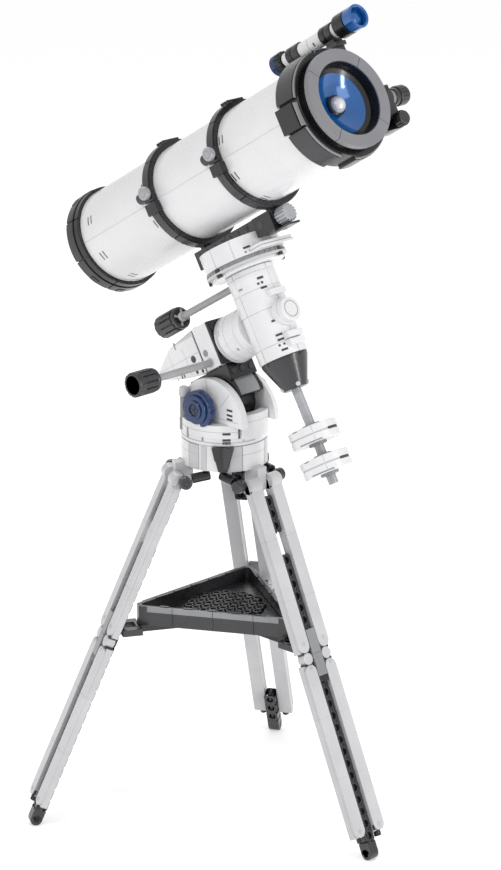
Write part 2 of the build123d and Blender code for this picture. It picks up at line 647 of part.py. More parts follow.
def build():
    """Writes every node."""
    save("hub_base", hub())
    save("hub_front_block", hub_block(313))
    save("azimuth_bolt", azimuth_bolt())
    connectors, pins, tiles = [], [], []
    for name, angle in LEG_ANGLES.items():
        save(f"leg_rails_{name}", *[leg(piece, angle) for piece in leg_rails()])
        save(f"leg_beam_{name}", leg_beam(angle, BEAM_TOPS[name]))
        connectors += [leg(piece, angle) for piece in splice_connectors()]
        pins += [leg(piece, angle) for piece in leg_dark_pins()]
        pins += [upright(Rot(0, 0, angle) * piece) for piece in hub_links()]
        tiles.append(leg(clamp_tile(), angle))
    save("leg_connectors", *connectors)
    save("leg_pins", *pins)
    save("leg_clamp_tiles", *tiles)
    save("tray_frame", tray_frame())
    save("tray_grille", tray_grille())
    save("tray_spreader", spreader())
    save("azimuth_drum", azimuth_drum())
    reach = KNOB_FAR - 2.3
    axle = rod(AXLE_RADIUS, (PIVOT_X, -reach, PIVOT_Z), (PIVOT_X, reach, PIVOT_Z))
    save("latitude_axle", upright(axle))
    for name, side in (("near", -1), ("far", 1)):
        save(f"fork_ear_{name}", fork_ear(side))
        save(f"latitude_knob_{name}", lobed_knob(side))
    save("lock_post", lock_post())
    save("latitude_block", latitude_block())
    save("polar_housing", polar_housing())
    save("polar_front_plate", polar_front_plate())
    save("polar_shaft", polar_shaft())
    save("polar_drum", polar_drum())
    worm_u, worm_w = POLAR_WORM
    save("polar_slow_rod", slow_rod((worm_u, 5, worm_w), (worm_u, -66, worm_w)))
    save("polar_slow_knob", slow_knob((worm_u, -66, worm_w), (worm_u, -84, worm_w), 8.0))
    rod_start = (DEC_U + 3, DEC_WORM_Y, DEC_WORM_W)
    rod_end = (DEC_U - 64.5, DEC_WORM_Y, DEC_WORM_W)
    save("dec_slow_rod", slow_rod(rod_start, rod_end))
    knob_end = (DEC_U - 84.5, DEC_WORM_Y, DEC_WORM_W)
    save("dec_slow_knob", slow_knob(rod_end, knob_end, 7.7))
    save("dec_housing", dec_housing())
    save("counterweight_cone", counterweight_cone())
    save("counterweight_shaft", counterweight_shaft())
    for name, middle in WEIGHT_MIDDLES.items():
        save(f"counterweight_{name}", counterweight(middle))
    save("dec_turntable", dec_turntable())
    save("dec_shaft", dec_shaft())
    save("dec_drum", dec_drum())
    save("dovetail_bar", dovetail_bar())
    save("saddle_clamp", saddle_clamp())
    save("saddle_knob", saddle_knob())
    for name, start in RING_REARS.items():
        save(f"{name}_ring_lower", ring_lower(start))
        save(f"{name}_ring_upper", ring_upper(start))
        save(f"{name}_ring_knob", ring_knob(start))
    save("tube_shell", tube_shell())
    save("rear_cap", rear_cap())
    save("front_collar", front_collar())
    save("face_ring", face_ring())
    save("primary_mirror", primary_mirror())
    save("secondary_dome", *secondary_dome())
    save("finder_bracket", finder_bracket())
    save("finder_tube", finder_tube())
    save("finder_eyepiece", finder_eyepiece())
    save("focuser_base", focuser_base())
    save("focuser_drawtube", focuser_drawtube())
    save("focus_knob", focus_knob())


os.makedirs("parts", exist_ok=True)
build()
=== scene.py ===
"""Looks for the toy-brick telescope on its mount and tripod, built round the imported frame.

Lengths are in millimetres in local frames and are scaled to metres once, in Piece.finish.
"""

import math

import bmesh
import bpy
from mathutils import Matrix, Vector


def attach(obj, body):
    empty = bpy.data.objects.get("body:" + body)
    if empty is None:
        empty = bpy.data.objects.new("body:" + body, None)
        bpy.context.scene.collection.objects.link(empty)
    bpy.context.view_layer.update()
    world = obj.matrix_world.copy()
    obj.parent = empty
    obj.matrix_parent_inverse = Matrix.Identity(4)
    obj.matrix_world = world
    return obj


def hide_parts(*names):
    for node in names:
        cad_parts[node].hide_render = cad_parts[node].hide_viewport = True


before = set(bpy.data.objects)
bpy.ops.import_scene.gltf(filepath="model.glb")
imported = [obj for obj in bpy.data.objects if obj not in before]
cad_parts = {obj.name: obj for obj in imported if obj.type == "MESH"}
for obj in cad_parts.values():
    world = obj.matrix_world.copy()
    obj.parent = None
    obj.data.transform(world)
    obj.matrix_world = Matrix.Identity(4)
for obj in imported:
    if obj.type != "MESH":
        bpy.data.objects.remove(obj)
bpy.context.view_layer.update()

# The same driving sizes as the CAD
STUD = 8.0
TRIPOD_X = -6.0
PIVOT_X = 2.0
PIVOT_Z = 280.0
LATITUDE = 31.0
LEG_ANGLES = {"front": 0.0, "rear": 120.0, "side": 240.0}
BEAM_CELLS = {"front": 24, "rear": 3, "side": 24}
SPLAY = 23.63
FOOT_RADIUS = 132.4
BEAM_LINE = -0.6
RAIL_INNER = 4.3
RAIL_OUTER = 13.5
RAIL_BACK = -0.8
RAIL_FRONT = 6.0
RAIL_BOTTOM = 17.0
RAIL_TOP = 257.0
RAIL_JOINTS = (57, 97, 175, 215)
SPLICE = 136.0
LEG_BOLT = 253.7
HUB_TOP = 257.0
HUB_BOTTOM = 240.0
EAR_INNER = 12.3
EAR_OUTER = {-1: 18.0, 1: 15.5}
POLAR_W = 32.6
DEC_U = 64.0
TUBE_W = POLAR_W + 12 * STUD
TUBE_RADIUS = 32.0
TUBE_REAR = DEC_U - 99.8
CAP_REAR = DEC_U - 112.0
COLLAR_REAR = DEC_U + 111.5
COLLAR_FRONT = DEC_U + 130.0
FACE_U = DEC_U + 138.0
RING_REARS = {"rear": DEC_U - 27.2, "front": DEC_U + 40.5}
RING_FACE_Y = -37.0
FINDER_Y = 20.0
FINDER_W = TUBE_W + 45.0
FOCUSER_U = DEC_U + 120.0
FOCUSER_W = TUBE_W - 1.5
SLOW_KNOB_RIBS = 12
FLOOR_HALF = 60.0
LENS = 149.1

AXIS_X = Matrix(((0, 0, 1), (1, 0, 0), (0, 1, 0))).to_4x4()   # local z runs along x, local x along y
STAND = Matrix(((1, 0, 0), (0, 0, -1), (0, 1, 0))).to_4x4()   # local y runs up, local z along -y
UPRIGHT = Matrix.Translation((TRIPOD_X, 0, 0))
HEAD = (Matrix.Translation((TRIPOD_X + PIVOT_X, 0, PIVOT_Z))
        @ Matrix.Rotation(math.radians(-LATITUDE), 4, "Y"))
TUBE = Matrix.Translation((0, 0, TUBE_W)) @ AXIS_X
DEC = Matrix.Translation((DEC_U, 0, 0))
FINDER = Matrix.Translation((0, FINDER_Y, FINDER_W)) @ AXIS_X


def at(x=0.0, y=0.0, z=0.0):
    """A shift."""
    return Matrix.Translation((x, y, z))


def up(z):
    """A shift along the local z."""
    return at(0, 0, z)


def turn(degrees, axis="Z"):
    """A turn about one axis."""
    return Matrix.Rotation(math.radians(degrees), 4, axis)


def leg(angle):
    """The leg frame: z up the leg, x out of its front face."""
    return UPRIGHT @ turn(angle) @ at(FOOT_RADIUS) @ turn(-SPLAY, "Y")


def along(start, end):
    """A frame at start whose z points to end."""
    line = Vector(end) - Vector(start)
    return at(*start) @ line.to_track_quat("Z", "Y").to_matrix().to_4x4()


# Materials

WHITE, LIGHT, MID, DARK, BLACK, SILVER = "white", "light_grey", "mid_grey", "dark_grey", "black", "silver"

def plastic(name, colour, rough=0.28, grain=0.05, tone=0.05, coat=0.25, metallic=0.0):
    """Moulded plastic: a slow change of tone, a fine satin grain and faint moulding waves."""
    material = bpy.data.materials.new(name)
    material.use_nodes = True
    nodes, links = material.node_tree.nodes, material.node_tree.links
    shader = nodes["Principled BSDF"]
    shader.inputs["Metallic"].default_value = metallic
    shader.inputs["Coat Weight"].default_value = coat
    shader.inputs["Coat Roughness"].default_value = 0.12
    place = nodes.new("ShaderNodeTexCoord")

    def noise(scale, detail):
        node = nodes.new("ShaderNodeTexNoise")
        node.inputs["Scale"].default_value = scale
        node.inputs["Detail"].default_value = detail
        links.new(place.outputs["Object"], node.inputs["Vector"])
        return node.outputs["Fac"]

    def ramp(source, low, high):
        node = nodes.new("ShaderNodeValToRGB")
        node.color_ramp.elements[0].position = 0.35
        node.color_ramp.elements[1].position = 0.65
        node.color_ramp.elements[0].color = low
        node.color_ramp.elements[1].color = high
        links.new(source, node.inputs["Fac"])
        return node.outputs["Color"]

    cloud = noise(38.0, 3.0)
    dark = [channel * (1 - tone) for channel in colour] + [1.0]
    light = [min(1.0, channel * (1 + tone)) for channel in colour] + [1.0]
    links.new(ramp(cloud, dark, light), shader.inputs["Base Color"])
    fine = noise(900.0, 2.0)
    gloss = ramp(fine, [rough * 0.85] * 3 + [1.0], [min(1.0, rough * 1.2)] * 3 + [1.0])
    links.new(gloss, shader.inputs["Roughness"])
    bump = nodes.new("ShaderNodeBump")
    bump.inputs["Strength"].default_value = grain
    bump.inputs["Distance"].default_value = 0.0004
    links.new(fine, bump.inputs["Height"])
    wave = nodes.new("ShaderNodeBump")
    wave.inputs["Strength"].default_value = 0.12
    wave.inputs["Distance"].default_value = 0.0012
    links.new(noise(60.0, 1.0), wave.inputs["Height"])
    links.new(bump.outputs["Normal"], wave.inputs["Normal"])
    links.new(wave.outputs["Normal"], shader.inputs["Normal"])
    return material


MATERIALS = {
    WHITE: plastic("brick_white", (0.70, 0.70, 0.71), 0.24, 0.03, 0.02),
    "seam": plastic("seam_grey", (0.42, 0.42, 0.43), 0.5, 0.03, 0.08, 0.0),
    "slot": plastic("slot_dark", (0.05, 0.05, 0.055), 0.5, 0.03, 0.2, 0.0),
    LIGHT: plastic("brick_light_grey", (0.50, 0.50, 0.515), 0.32, 0.06, 0.05),
    SILVER: plastic("brick_silver", (0.36, 0.37, 0.39), 0.3, 0.08, 0.06, 0.3, 0.25),
    MID: plastic("brick_mid_grey", (0.23, 0.235, 0.24), 0.34, 0.08, 0.08),
    "rod_grey": plastic("brick_rod_grey", (0.31, 0.31, 0.315), 0.34, 0.08, 0.08),
    DARK: plastic("brick_dark_grey", (0.026, 0.026, 0.029), 0.3, 0.1, 0.12),
    BLACK: plastic("brick_black", (0.006, 0.006, 0.007), 0.28, 0.1, 0.2),
    "blue": plastic("brick_blue", (0.0018, 0.024, 0.1), 0.22, 0.06, 0.12),
    "blue_dish": plastic("dish_blue", (0.006, 0.105, 0.36), 0.1, 0.0, 0.08, 0.9, 0.25),
    "face_grey": plastic("face_grey", (0.20, 0.20, 0.215), 0.34, 0.06, 0.05),
    "pearl": plastic("dome_pearl", (0.66, 0.67, 0.69), 0.3, 0.0, 0.05, 0.6, 0.2),
}


# Shapes: each returns a bmesh in its own frame, in millimetres


def lathe(profile, segments=48, ring=False):
    """Turns (radius, height) points about z. A ring's profile closes on itself."""
    mesh = bmesh.new()
    loops = []
    for radius, height in profile:
        if radius < 1e-6:
            loops.append([mesh.verts.new((0, 0, height))])
            continue
        loop = []
        for index in range(segments):
            angle = 2 * math.pi * index / segments
            loop.append(mesh.verts.new((radius * math.cos(angle), radius * math.sin(angle), height)))
        loops.append(loop)
    pairs = list(zip(loops, loops[1:] + loops[:1])) if ring else list(zip(loops, loops[1:]))
    for low, high in pairs:
        for index in range(segments):
            after = (index + 1) % segments
            corners = [low[index % len(low)], low[after % len(low)],
                       high[after % len(high)], high[index % len(high)]]
            unique = list(dict.fromkeys(corners))
            if len(unique) > 2:
                mesh.faces.new(unique)
    return mesh


def rod(radius, length, soft=0.5, segments=48):
    """A cylinder along z with rounded rims."""
    soft = min(soft, radius * 0.6, length * 0.45)
    inner = radius - soft
    low = [(0, 0), (inner, 0), (inner + soft * 0.7, soft * 0.3), (radius, soft)]
    high = [(r, length - z) for r, z in reversed(low)]
    return lathe(low + high, segments)


def pipe(outer, inner, length, soft=0.4, segments=64):
    """A tube along z with rounded rims."""
    soft = min(soft, (outer - inner) * 0.45, length * 0.45)
    profile = [(outer - soft, 0), (outer, soft), (outer, length - soft), (outer - soft, length),
               (inner + soft, length), (inner, length - soft), (inner, soft), (inner + soft, 0)]
    return lathe(profile, segments, ring=True)


def cone(low_radius, high_radius, length, soft=0.5, segments=48):
    """A frustum along z with rounded rims."""
    low = [(0, 0), (low_radius - soft, 0), (low_radius, soft)]
    high = [(high_radius, length - soft), (high_radius - soft, length), (0, length)]
    return lathe(low + high, segments)


def bevelled(mesh, soft, limit=25.0):
    """Rounds the sharp edges of a closed shape."""
    if soft > 0:
        sharp = [edge for edge in mesh.edges if edge.calc_face_angle(0) > math.radians(limit)]
        bmesh.ops.bevel(mesh, geom=sharp, offset=soft, segments=2, profile=0.6, affect="EDGES",
                        clamp_overlap=True)
    return mesh


def box(x, y, z, soft=0.4):
    """A box from three (low, high) pairs."""
    mesh = bmesh.new()
    bmesh.ops.create_cube(mesh, size=1.0)
    for vert in mesh.verts:
        vert.co = Vector([low + (high - low) * (value + 0.5)
                          for (low, high), value in zip((x, y, z), vert.co)])
    return bevelled(mesh, soft)


def prism(outline, low, high, soft=0.4, limit=25.0):
    """An outline in the x-y plane, raised from low to high."""
    mesh = bmesh.new()
    base = [mesh.verts.new((x, y, low)) for x, y in outline]
    top = [mesh.verts.new((x, y, high)) for x, y in outline]
    mesh.faces.new(list(reversed(base)))
    mesh.faces.new(top)
    for index in range(len(base)):
        after = (index + 1) % len(base)
        mesh.faces.new((base[index], base[after], top[after], top[index]))
    bmesh.ops.recalc_face_normals(mesh, faces=mesh.faces[:])
    return bevelled(mesh, soft, limit)


def arc(radius, start, end, step, x=0.0, y=0.0):
    """Points on a circle round (x, y), one every few degrees from start until end."""
    return [(x + radius * math.cos(math.radians(a)), y + radius * math.sin(math.radians(a)))
            for a in range(start, end, step)]


def sector(inner, outer, start, end, low, high, soft=0.3):
    """Part of a ring about z, between two angles in degrees."""
    steps = max(2, int(abs(end - start) / 6) + 1)
    angles = [math.radians(start + (end - start) * index / steps) for index in range(steps + 1)]
    outline = [(outer * math.cos(a), outer * math.sin(a)) for a in angles]
    outline += [(inner * math.cos(a), inner * math.sin(a)) for a in reversed(angles)]
    return prism(outline, low, high, soft)


def perforated(cells, pitch, width, depth, hole, start=0.0):
    """A beam along z with a round through hole (along x) in the middle of each cell."""
    mesh = bmesh.new()
    half, count = width / 2, 16
    spots = []
    for index in range(count):
        angle = 2 * math.pi * (index + 0.5) / count
        y, z = math.cos(angle), math.sin(angle)
        reach = max(abs(y) / half, abs(z) / (pitch / 2))
        spots.append((y, z, y / reach, z / reach))
    for cell in range(cells):
        middle = start + pitch * (cell + 0.5)
        rims, edges = [], []
        for x in (-depth / 2, depth / 2):
            rims.append([mesh.verts.new((x, y * hole, middle + z * hole)) for y, z, _, _ in spots])
            edges.append([mesh.verts.new((x, y, middle + z)) for _, _, y, z in spots])
        for index in range(count):
            after = (index + 1) % count
            for side in (0, 1):
                mesh.faces.new((edges[side][index], edges[side][after],
                                rims[side][after], rims[side][index]))
            mesh.faces.new((rims[0][index], rims[0][after], rims[1][after], rims[1][index]))
            if abs(spots[index][2]) > half - 1e-6 and abs(spots[after][2]) > half - 1e-6:
                if spots[index][2] * spots[after][2] > 0:
                    mesh.faces.new((edges[0][index], edges[1][index], edges[1][after], edges[0][after]))
    return mesh


class Piece:
    """One visible object, gathered from shapes in a local frame."""

    def __init__(self, name, body, slot, replaced, place):
        self.name, self.body, self.slot = name, body, slot
        self.replaced, self.place = replaced, place
        self.mesh = bmesh.new()
        self.used = []

    def add(self, shape, material, place=None):
        """Adds a shape in a material, moved by place within the piece's frame."""
        if material not in self.used:
            self.used.append(material)
        for face in shape.faces:
            face.material_index = self.used.index(material)
        if place is not None:
            shape.transform(place)
        scratch = bpy.data.meshes.new("scratch")
        shape.to_mesh(scratch)
        shape.free()
        self.mesh.from_mesh(scratch)
        bpy.data.meshes.remove(scratch)
        return self

    def rod(self, radius, start, end, material, soft=0.5, segments=48):
        """A rounded cylinder between two points."""
        length = (Vector(end) - Vector(start)).length
        return self.add(rod(radius, length, soft, segments), material, along(start, end))

    def box(self, x, y, z, material, soft=0.4, place=None):
        """A rounded box from three (low, high) pairs."""
        return self.add(box(x, y, z, soft), material, place)

    def slots(self, radius, angle, heights, material="slot", width=6.0, thick=1.0, place=None):
        """Short dark lines across a cylinder's wall, one at each height."""
        half = math.degrees(width / 2 / radius)
        for height in heights:
            strip = sector(radius - 0.5, radius + 0.05, angle - half, angle + half,
                           height - thick / 2, height + thick / 2, 0)
            self.add(strip, material, place)
        return self

    def dots(self, radius, angle, height, spread=3.0, material="slot", place=None):
        """Two small square marks side by side on a cylinder's wall."""
        for side in (-1, 1):
            middle = angle + side * math.degrees(spread / 2 / radius)
            half = math.degrees(0.7 / radius)
            mark = sector(radius - 0.5, radius + 0.05, middle - half, middle + half,
                          height - 0.7, height + 0.7, 0)
            self.add(mark, material, place)
        return self

    def seam(self, radius, height, start=0, end=360, material="seam", thick=0.35, place=None):
        """A thin line round a cylinder's wall."""
        steps = max(1, int((end - start) / 90))
        for index in range(steps):
            low = start + (end - start) * index / steps
            high = start + (end - start) * (index + 1) / steps
            line = sector(radius - 0.5, radius + 0.04, low, high,
                          height - thick / 2, height + thick / 2, 0)
            self.add(line, material, place)
        return self

    def ribs(self, count, x, y, z, material, soft, place):
        """Boxes spaced evenly round an axis."""
        for index in range(count):
            self.add(box(x, y, z, soft), material, place @ turn(360 * index / count))
        return self

    def finish(self):
        """Makes the object in metres, hangs it under its body's empty and hides the CAD nodes it stands
        for.
        """
        data = bpy.data.meshes.new(self.name)
        bmesh.ops.recalc_face_normals(self.mesh, faces=self.mesh.faces[:])
        self.mesh.transform(Matrix.Scale(0.001, 4) @ self.place)
        self.mesh.to_mesh(data)
        self.mesh.free()
        for material in self.used:
            data.materials.append(MATERIALS[material])
        for polygon in data.polygons:
            polygon.use_smooth = True
        data.set_sharp_from_angle(angle=math.radians(38))
        obj = bpy.data.objects.new(self.name, data)
        bpy.context.scene.collection.objects.link(obj)
        weighted = obj.modifiers.new("weighted_normals", "WEIGHTED_NORMAL")
        weighted.keep_sharp = True
        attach(obj, self.body)
        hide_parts(*self.replaced)
        return obj


def piece(name, body, slot, *replaced, place=HEAD):
    """A new piece that stands for the given CAD nodes."""
    return Piece(name, body, slot, replaced, place)


# Tripod


def rail_length(part, side, low, high):
    """One light rail between two heights: a plain body under long tiles with round outer ends."""
    y0, y1 = sorted((side * RAIL_INNER, side * RAIL_OUTER))
    part.box((RAIL_BACK, RAIL_FRONT - 2.2), (y0, y1), (low, high), LIGHT, 0.3)
    part.add(round_ended((y0, y1), low, high), LIGHT, at(RAIL_FRONT - 2.25) @ AXIS_X)
    for height in RAIL_JOINTS:
        if low + 6 < height < high - 6:
            part.box((RAIL_BACK - 0.03, RAIL_FRONT - 0.01), (y0 - 0.03, y1 + 0.03),
                     (height - 0.14, height + 0.14), "seam", 0)
    part.box((RAIL_FRONT - 2.35, RAIL_FRONT - 2.15), (y0 - 0.03, y1 + 0.03), (low + 4, high - 4), "seam", 0)


def round_ended(across, low, high):
    """A flat tile with round ends, in the frame of a rail's face."""
    y0, y1 = across
    radius, middle = (y1 - y0) / 2, (y0 + y1) / 2
    outline = []
    for index in range(9):
        angle = math.pi * index / 8
        outline.append((middle + radius * math.cos(angle), high - radius + radius * math.sin(angle)))
    for index in range(9):
        angle = math.pi + math.pi * index / 8
        outline.append((middle + radius * math.cos(angle), low + radius + radius * math.sin(angle)))
    return prism(outline, 0, 2.2, 0.35)


def make_leg_rails(name, angle):
    """Both rails of one leg."""
    part = piece(f"rails_{name}", "tripod", LIGHT, f"leg_rails_{name}", place=leg(angle))
    for side in (-1, 1):
        rail_length(part, side, RAIL_BOTTOM, SPLICE - 4)
        rail_length(part, side, SPLICE + 4, RAIL_TOP - 4)
        middle = side * (RAIL_INNER + RAIL_OUTER) / 2
        y0, y1 = sorted((side * RAIL_INNER, side * RAIL_OUTER))
        part.rod(5.2, (2.6, y0, RAIL_TOP - 5.4), (2.6, y1, RAIL_TOP - 5.4), LIGHT, 0.4)
        for height in (RAIL_BOTTOM + 2, SPLICE - 8, SPLICE + 8):
            part.rod(1.7, (RAIL_FRONT - 0.9, middle, height + 2), (RAIL_FRONT - 0.02, middle, height + 2),
                     "seam", 0.1, 24)
    part.finish()


def beam_holes(part, cells, low, place):
    """One perforated beam with a dark core, and small studs and a seam at each pitch."""
    part.add(perforated(cells, STUD, 7.9, 7.8, 2.45, low), DARK, place)
    part.add(box((-3.0, 3.0), (-0.9, 0.9), (low, low + STUD * cells)), BLACK, place)
    for cell in range(cells):
        height = low + STUD * cell
        for side in (-1, 1):
            stud = place @ at(2.6 - BEAM_LINE, side * 1.9, height) @ AXIS_X
            part.add(rod(0.95, 1.35, 0.1, 12), BLACK, stud)
        part.add(box((-3.7, 3.7), (-3.97, 3.97), (height - 0.15, height + 0.15)), BLACK, place)


def make_leg_beam(name, angle):
    """The perforated beam between the rails and its rounded foot."""
    part = piece(f"beam_{name}", f"leg_beam_{name}", DARK, f"leg_beam_{name}", place=leg(angle))
    slide = at(BEAM_LINE)
    beam_holes(part, BEAM_CELLS[name], 12.0, slide)
    part.rod(4.0, (BEAM_LINE, -4, 4.7), (BEAM_LINE, 4, 4.7), DARK, 0.7)
    part.box((-4.0, 4.0), (-4.0, 4.0), (4.4, 12.0), DARK, 0.5, slide)
    for side in (-1, 1):
        part.rod(2.2, (BEAM_LINE, side * 3.2, 4.6), (BEAM_LINE, side * 4.0, 4.6), BLACK, 0.2, 24)
    part.finish()


def make_leg_fittings():
    """The dark pins and bolts, round connectors and clamp tiles of all three legs, and strips of painted
    shade along the rails' inner faces.
    """
    pins = piece("leg_bolts", "tripod", BLACK, "leg_pins", place=Matrix.Identity(4))
    rounds = piece("leg_rounds", "tripod", LIGHT, "leg_connectors", place=Matrix.Identity(4))
    tiles = piece("leg_tiles", "tripod", MID, "leg_clamp_tiles", place=Matrix.Identity(4))
    middle = (RAIL_BACK + RAIL_FRONT) / 2
    for angle in LEG_ANGLES.values():
        here = leg(angle)
        for side in (-1, 1):
            y = side * STUD
            pins.add(rod(2.4, 3.5, 0.4, 24), BLACK, here @ at(middle, y, RAIL_BOTTOM - 3.5))
            rounds.add(rod(3.9, RAIL_FRONT - RAIL_BACK - 0.6, 0.5), LIGHT,
                       here @ at(RAIL_BACK + 0.3, side * 8.3, SPLICE) @ AXIS_X)
            for low in (SPLICE - 4.3, SPLICE + 3.0):
                pins.add(box((RAIL_BACK + 0.4, RAIL_FRONT - 1.0), (y - 3.4, y + 4.0),
                             (low, low + 1.3), 0.1), BLACK, here)
            stem = along((0, side * RAIL_OUTER, LEG_BOLT), (0, side * 21.0, LEG_BOLT))
            pins.add(cone(3.4, 4.1, 3.2, 0.4, 32), BLACK, here @ stem)
            pins.add(rod(4.1, 4.2, 0.6, 32), DARK, here @ stem @ up(3.2))
            pins.add(pipe(2.2, 1.2, 0.5, 0.1, 24), BLACK, here @ stem @ up(7.1))
            # Thin dark strips along each rail's inner face: painted shade for the channel beside the beam.
            for span in ((RAIL_BOTTOM + 1, SPLICE - 5), (SPLICE + 5, RAIL_TOP - 12)):
                pins.add(box((RAIL_BACK + 0.3, RAIL_FRONT - 0.3), sorted((side * 4.35, side * 4.5)), span),
                         "slot", here)
        beam_holes(pins, 3, 219.0, here @ at(BEAM_LINE))
        bolt = along((0, -RAIL_OUTER, LEG_BOLT), (0, RAIL_OUTER, LEG_BOLT))
        pins.add(rod(2.4, 2 * RAIL_OUTER, 0.3, 24), BLACK, here @ bolt)
        front = (BEAM_LINE + 4.3, RAIL_FRONT + 0.3)
        tiles.add(box(front, (-3.9, 3.9), (SPLICE - 13.0, SPLICE + 18), 0.5), MID, here)
        tiles.add(box((front[0], front[1] - 0.6), (-3.9, 3.9), (SPLICE - 17, SPLICE - 13.2), 0.3),
                  BLACK, here)
        tiles.add(box((front[0], front[1] + 0.05), (-3.8, 3.8), (SPLICE + 1.9, SPLICE + 2.1), 0),
                  "slot", here)
        for side in (-1, 1):
            link = along((26.2, side * 17.2, 234.6), (14.5, side * 17.2, 236.2))
            pins.add(rod(3.2, 11.8, 0.6, 32), BLACK, UPRIGHT @ turn(angle) @ link)
    for part in (pins, rounds, tiles):
        part.finish()


def make_hub():
    """The ribbed light hub, its lugs, its dark front block and the bolt under it."""
    part = piece("hub", "tripod", WHITE, "hub_base", place=UPRIGHT)
    part.add(pipe(27.2, 4.3, HUB_TOP - HUB_BOTTOM, 0.4, 96), WHITE, up(HUB_BOTTOM))
    for index in range(3):
        base = index * 120.0
        for start, end in ((-38, -21), (-20, 20), (21, 38)):
            part.add(sector(24, 28, base + start, base + end, HUB_BOTTOM, HUB_TOP - 0.2, 0.4),
                     WHITE if abs(start) < 30 and end < 30 else LIGHT)
        for start, end in ((42, 50), (70, 78)):
            part.add(sector(24, 27.7, base + start, base + end, HUB_BOTTOM, HUB_TOP - 0.6, 0.3), LIGHT)
        part.add(box((22, 34), (-4, 4), (226.5, HUB_BOTTOM + 2), 0.5), LIGHT, turn(base))
        part.add(box((23, 33), (-4.1, 4.1), (233.4, 233.7), 0), "seam", turn(base))
    for start in (-38, 82, 202):
        part.seam(28, HUB_TOP - 6.2, start, start + 76)
    part.finish()
    block = piece("hub_block", "tripod", BLACK, "hub_front_block", place=UPRIGHT @ turn(313))
    outline = [(-7.3, HUB_TOP), (-3.0, HUB_BOTTOM + 0.5), (3.0, HUB_BOTTOM + 0.5), (7.3, HUB_TOP)]
    block.add(prism(outline, 27.2, 29.4, 0.4), BLACK, AXIS_X)
    block.add(prism([(-7.3, HUB_TOP), (-5.3, HUB_BOTTOM + 8), (-1.8, HUB_BOTTOM + 8), (-1.8, HUB_TOP)],
                    29.0, 30.6, 0.3), BLACK, AXIS_X)
    block.add(prism([(0.2, HUB_TOP), (0.2, HUB_BOTTOM + 3), (2.8, HUB_BOTTOM + 3), (7.0, HUB_TOP)],
                    29.0, 30.9, 0.3), DARK, AXIS_X)
    block.finish()
    bolt = piece("pan_bolt", "tripod", BLACK, "azimuth_bolt", place=UPRIGHT)
    bolt.rod(4.0, (0, 0, HUB_BOTTOM), (0, 0, 261.5), BLACK)
    bolt.add(prism(arc(9, 0, 360, 15), HUB_BOTTOM - 5, HUB_BOTTOM, 0.8), BLACK)
    bolt.add(pipe(4.5, 3.2, 0.5, 0.1, 32), DARK, up(HUB_BOTTOM - 5.3))
    bolt.finish()


def triangle(corner, trim):
    """A triangle's outline, its points cut by a circle."""
    outline = []
    inner = corner / 2
    for index in range(3):
        base = 120.0 * index
        reach = math.degrees(math.acos(inner / trim)) if trim < corner else 60.0
        for step in range(9):
            angle = math.radians(base - 60 + reach + (120 - 2 * reach) * step / 8)
            outline.append((trim * math.cos(angle), trim * math.sin(angle)))
    return outline


def make_tray():
    """The three-cornered tray with its lipped walls, studs and honeycomb mat."""
    part = piece("tray", "tripod", DARK, "tray_frame", place=UPRIGHT)
    outer, inner = triangle(64.0, 59.0), triangle(58.5, 56.0)
    wall = bmesh.new()
    for outline, flip in ((outer, False), (inner, True)):
        low = [wall.verts.new((x, y, 133.0 if not flip else 137.6)) for x, y in outline]
        high = [wall.verts.new((x, y, 146.0)) for x, y in outline]
        for index in range(len(outline)):
            after = (index + 1) % len(outline)
            wall.faces.new((low[index], low[after], high[after], high[index]))
        wall.faces.new(low)
        if flip:
            top_inner = high
        else:
            top_outer = high
    for index in range(len(outer)):
        after = (index + 1) % len(outer)
        wall.faces.new((top_outer[index], top_outer[after], top_inner[after], top_inner[index]))
    bmesh.ops.recalc_face_normals(wall, faces=wall.faces[:])
    part.add(bevelled(wall, 0.5), DARK)
    for index in range(3):
        side = turn(120.0 * index + 60)
        part.box((31.3, 32.4), (-43, 43), (141.4, 142.2), "slot", 0.1, side)
        part.box((31.4, 32.6), (-44, 44), (142.4, 146.2), MID, 0.3, side)
        for y in (-27, 0, 27):
            part.box((31.5, 32.7), (y - 0.2, y + 0.2), (133.2, 146.25), "slot", 0, side)
        for step in range(5):
            part.box((28.6, 30.6), (-36 + 16 * step, -30 + 16 * step), (145.8, 146.5), DARK, 0.2, side)
    part.finish()
    mat = piece("tray_mat", "tripod", BLACK, "tray_grille", place=UPRIGHT)
    pitch, low = 6.6, 138.1
    for row in range(-8, 9):
        for column in range(-9, 10):
            x = pitch * (column + 0.5 * (row % 2))
            y = pitch * row * math.sqrt(3) / 2
            reach = max(x * nx + y * ny for nx, ny in arc(1.0, 60, 301, 120))
            if reach > 25.2 or math.hypot(x, y) > 24:
                continue
            ring = lathe([(3.25, 0), (3.25, 1.9), (2.9, 2.3), (2.3, 2.3), (2.1, 1.9), (2.1, 0.2), (2.6, 0)],
                         6, ring=True)
            mat.add(ring, DARK, at(x, y, low) @ turn(30))
    mat.add(prism(triangle(57.5, 54.5), low - 0.5, low + 0.4, 0.1), BLACK)
    mat.finish()
    arms = piece("spreader", "tripod", BLACK, "tray_spreader", place=UPRIGHT)
    arms.rod(12, (0, 0, 128), (0, 0, 133), BLACK, 0.6)
    for angle in LEG_ANGLES.values():
        here = turn(angle)
        arms.box((0, 60), (-3.9, 3.9), (128.2, 132.8), BLACK, 0.6, here)
        arms.box((58, 61), (-10.6, 10.6), (128.2, 132.8), DARK, 0.5, here)
        for side in (-1, 1):
            y = sorted((side * 4.5, side * 10.6))
            arms.box((60, 71.5), y, (128.2, 132.8), DARK, 0.5, here)
            arms.rod(2.3, (64, side * 7.5, 127.9), (64, side * 7.5, 133.2), LIGHT, 0.3, 24)
            arms.box((20, 56), (side * 1.2 - 0.4, side * 1.2 + 0.4), (132.7, 132.95), "slot", 0, here)
    arms.finish()


# Azimuth head


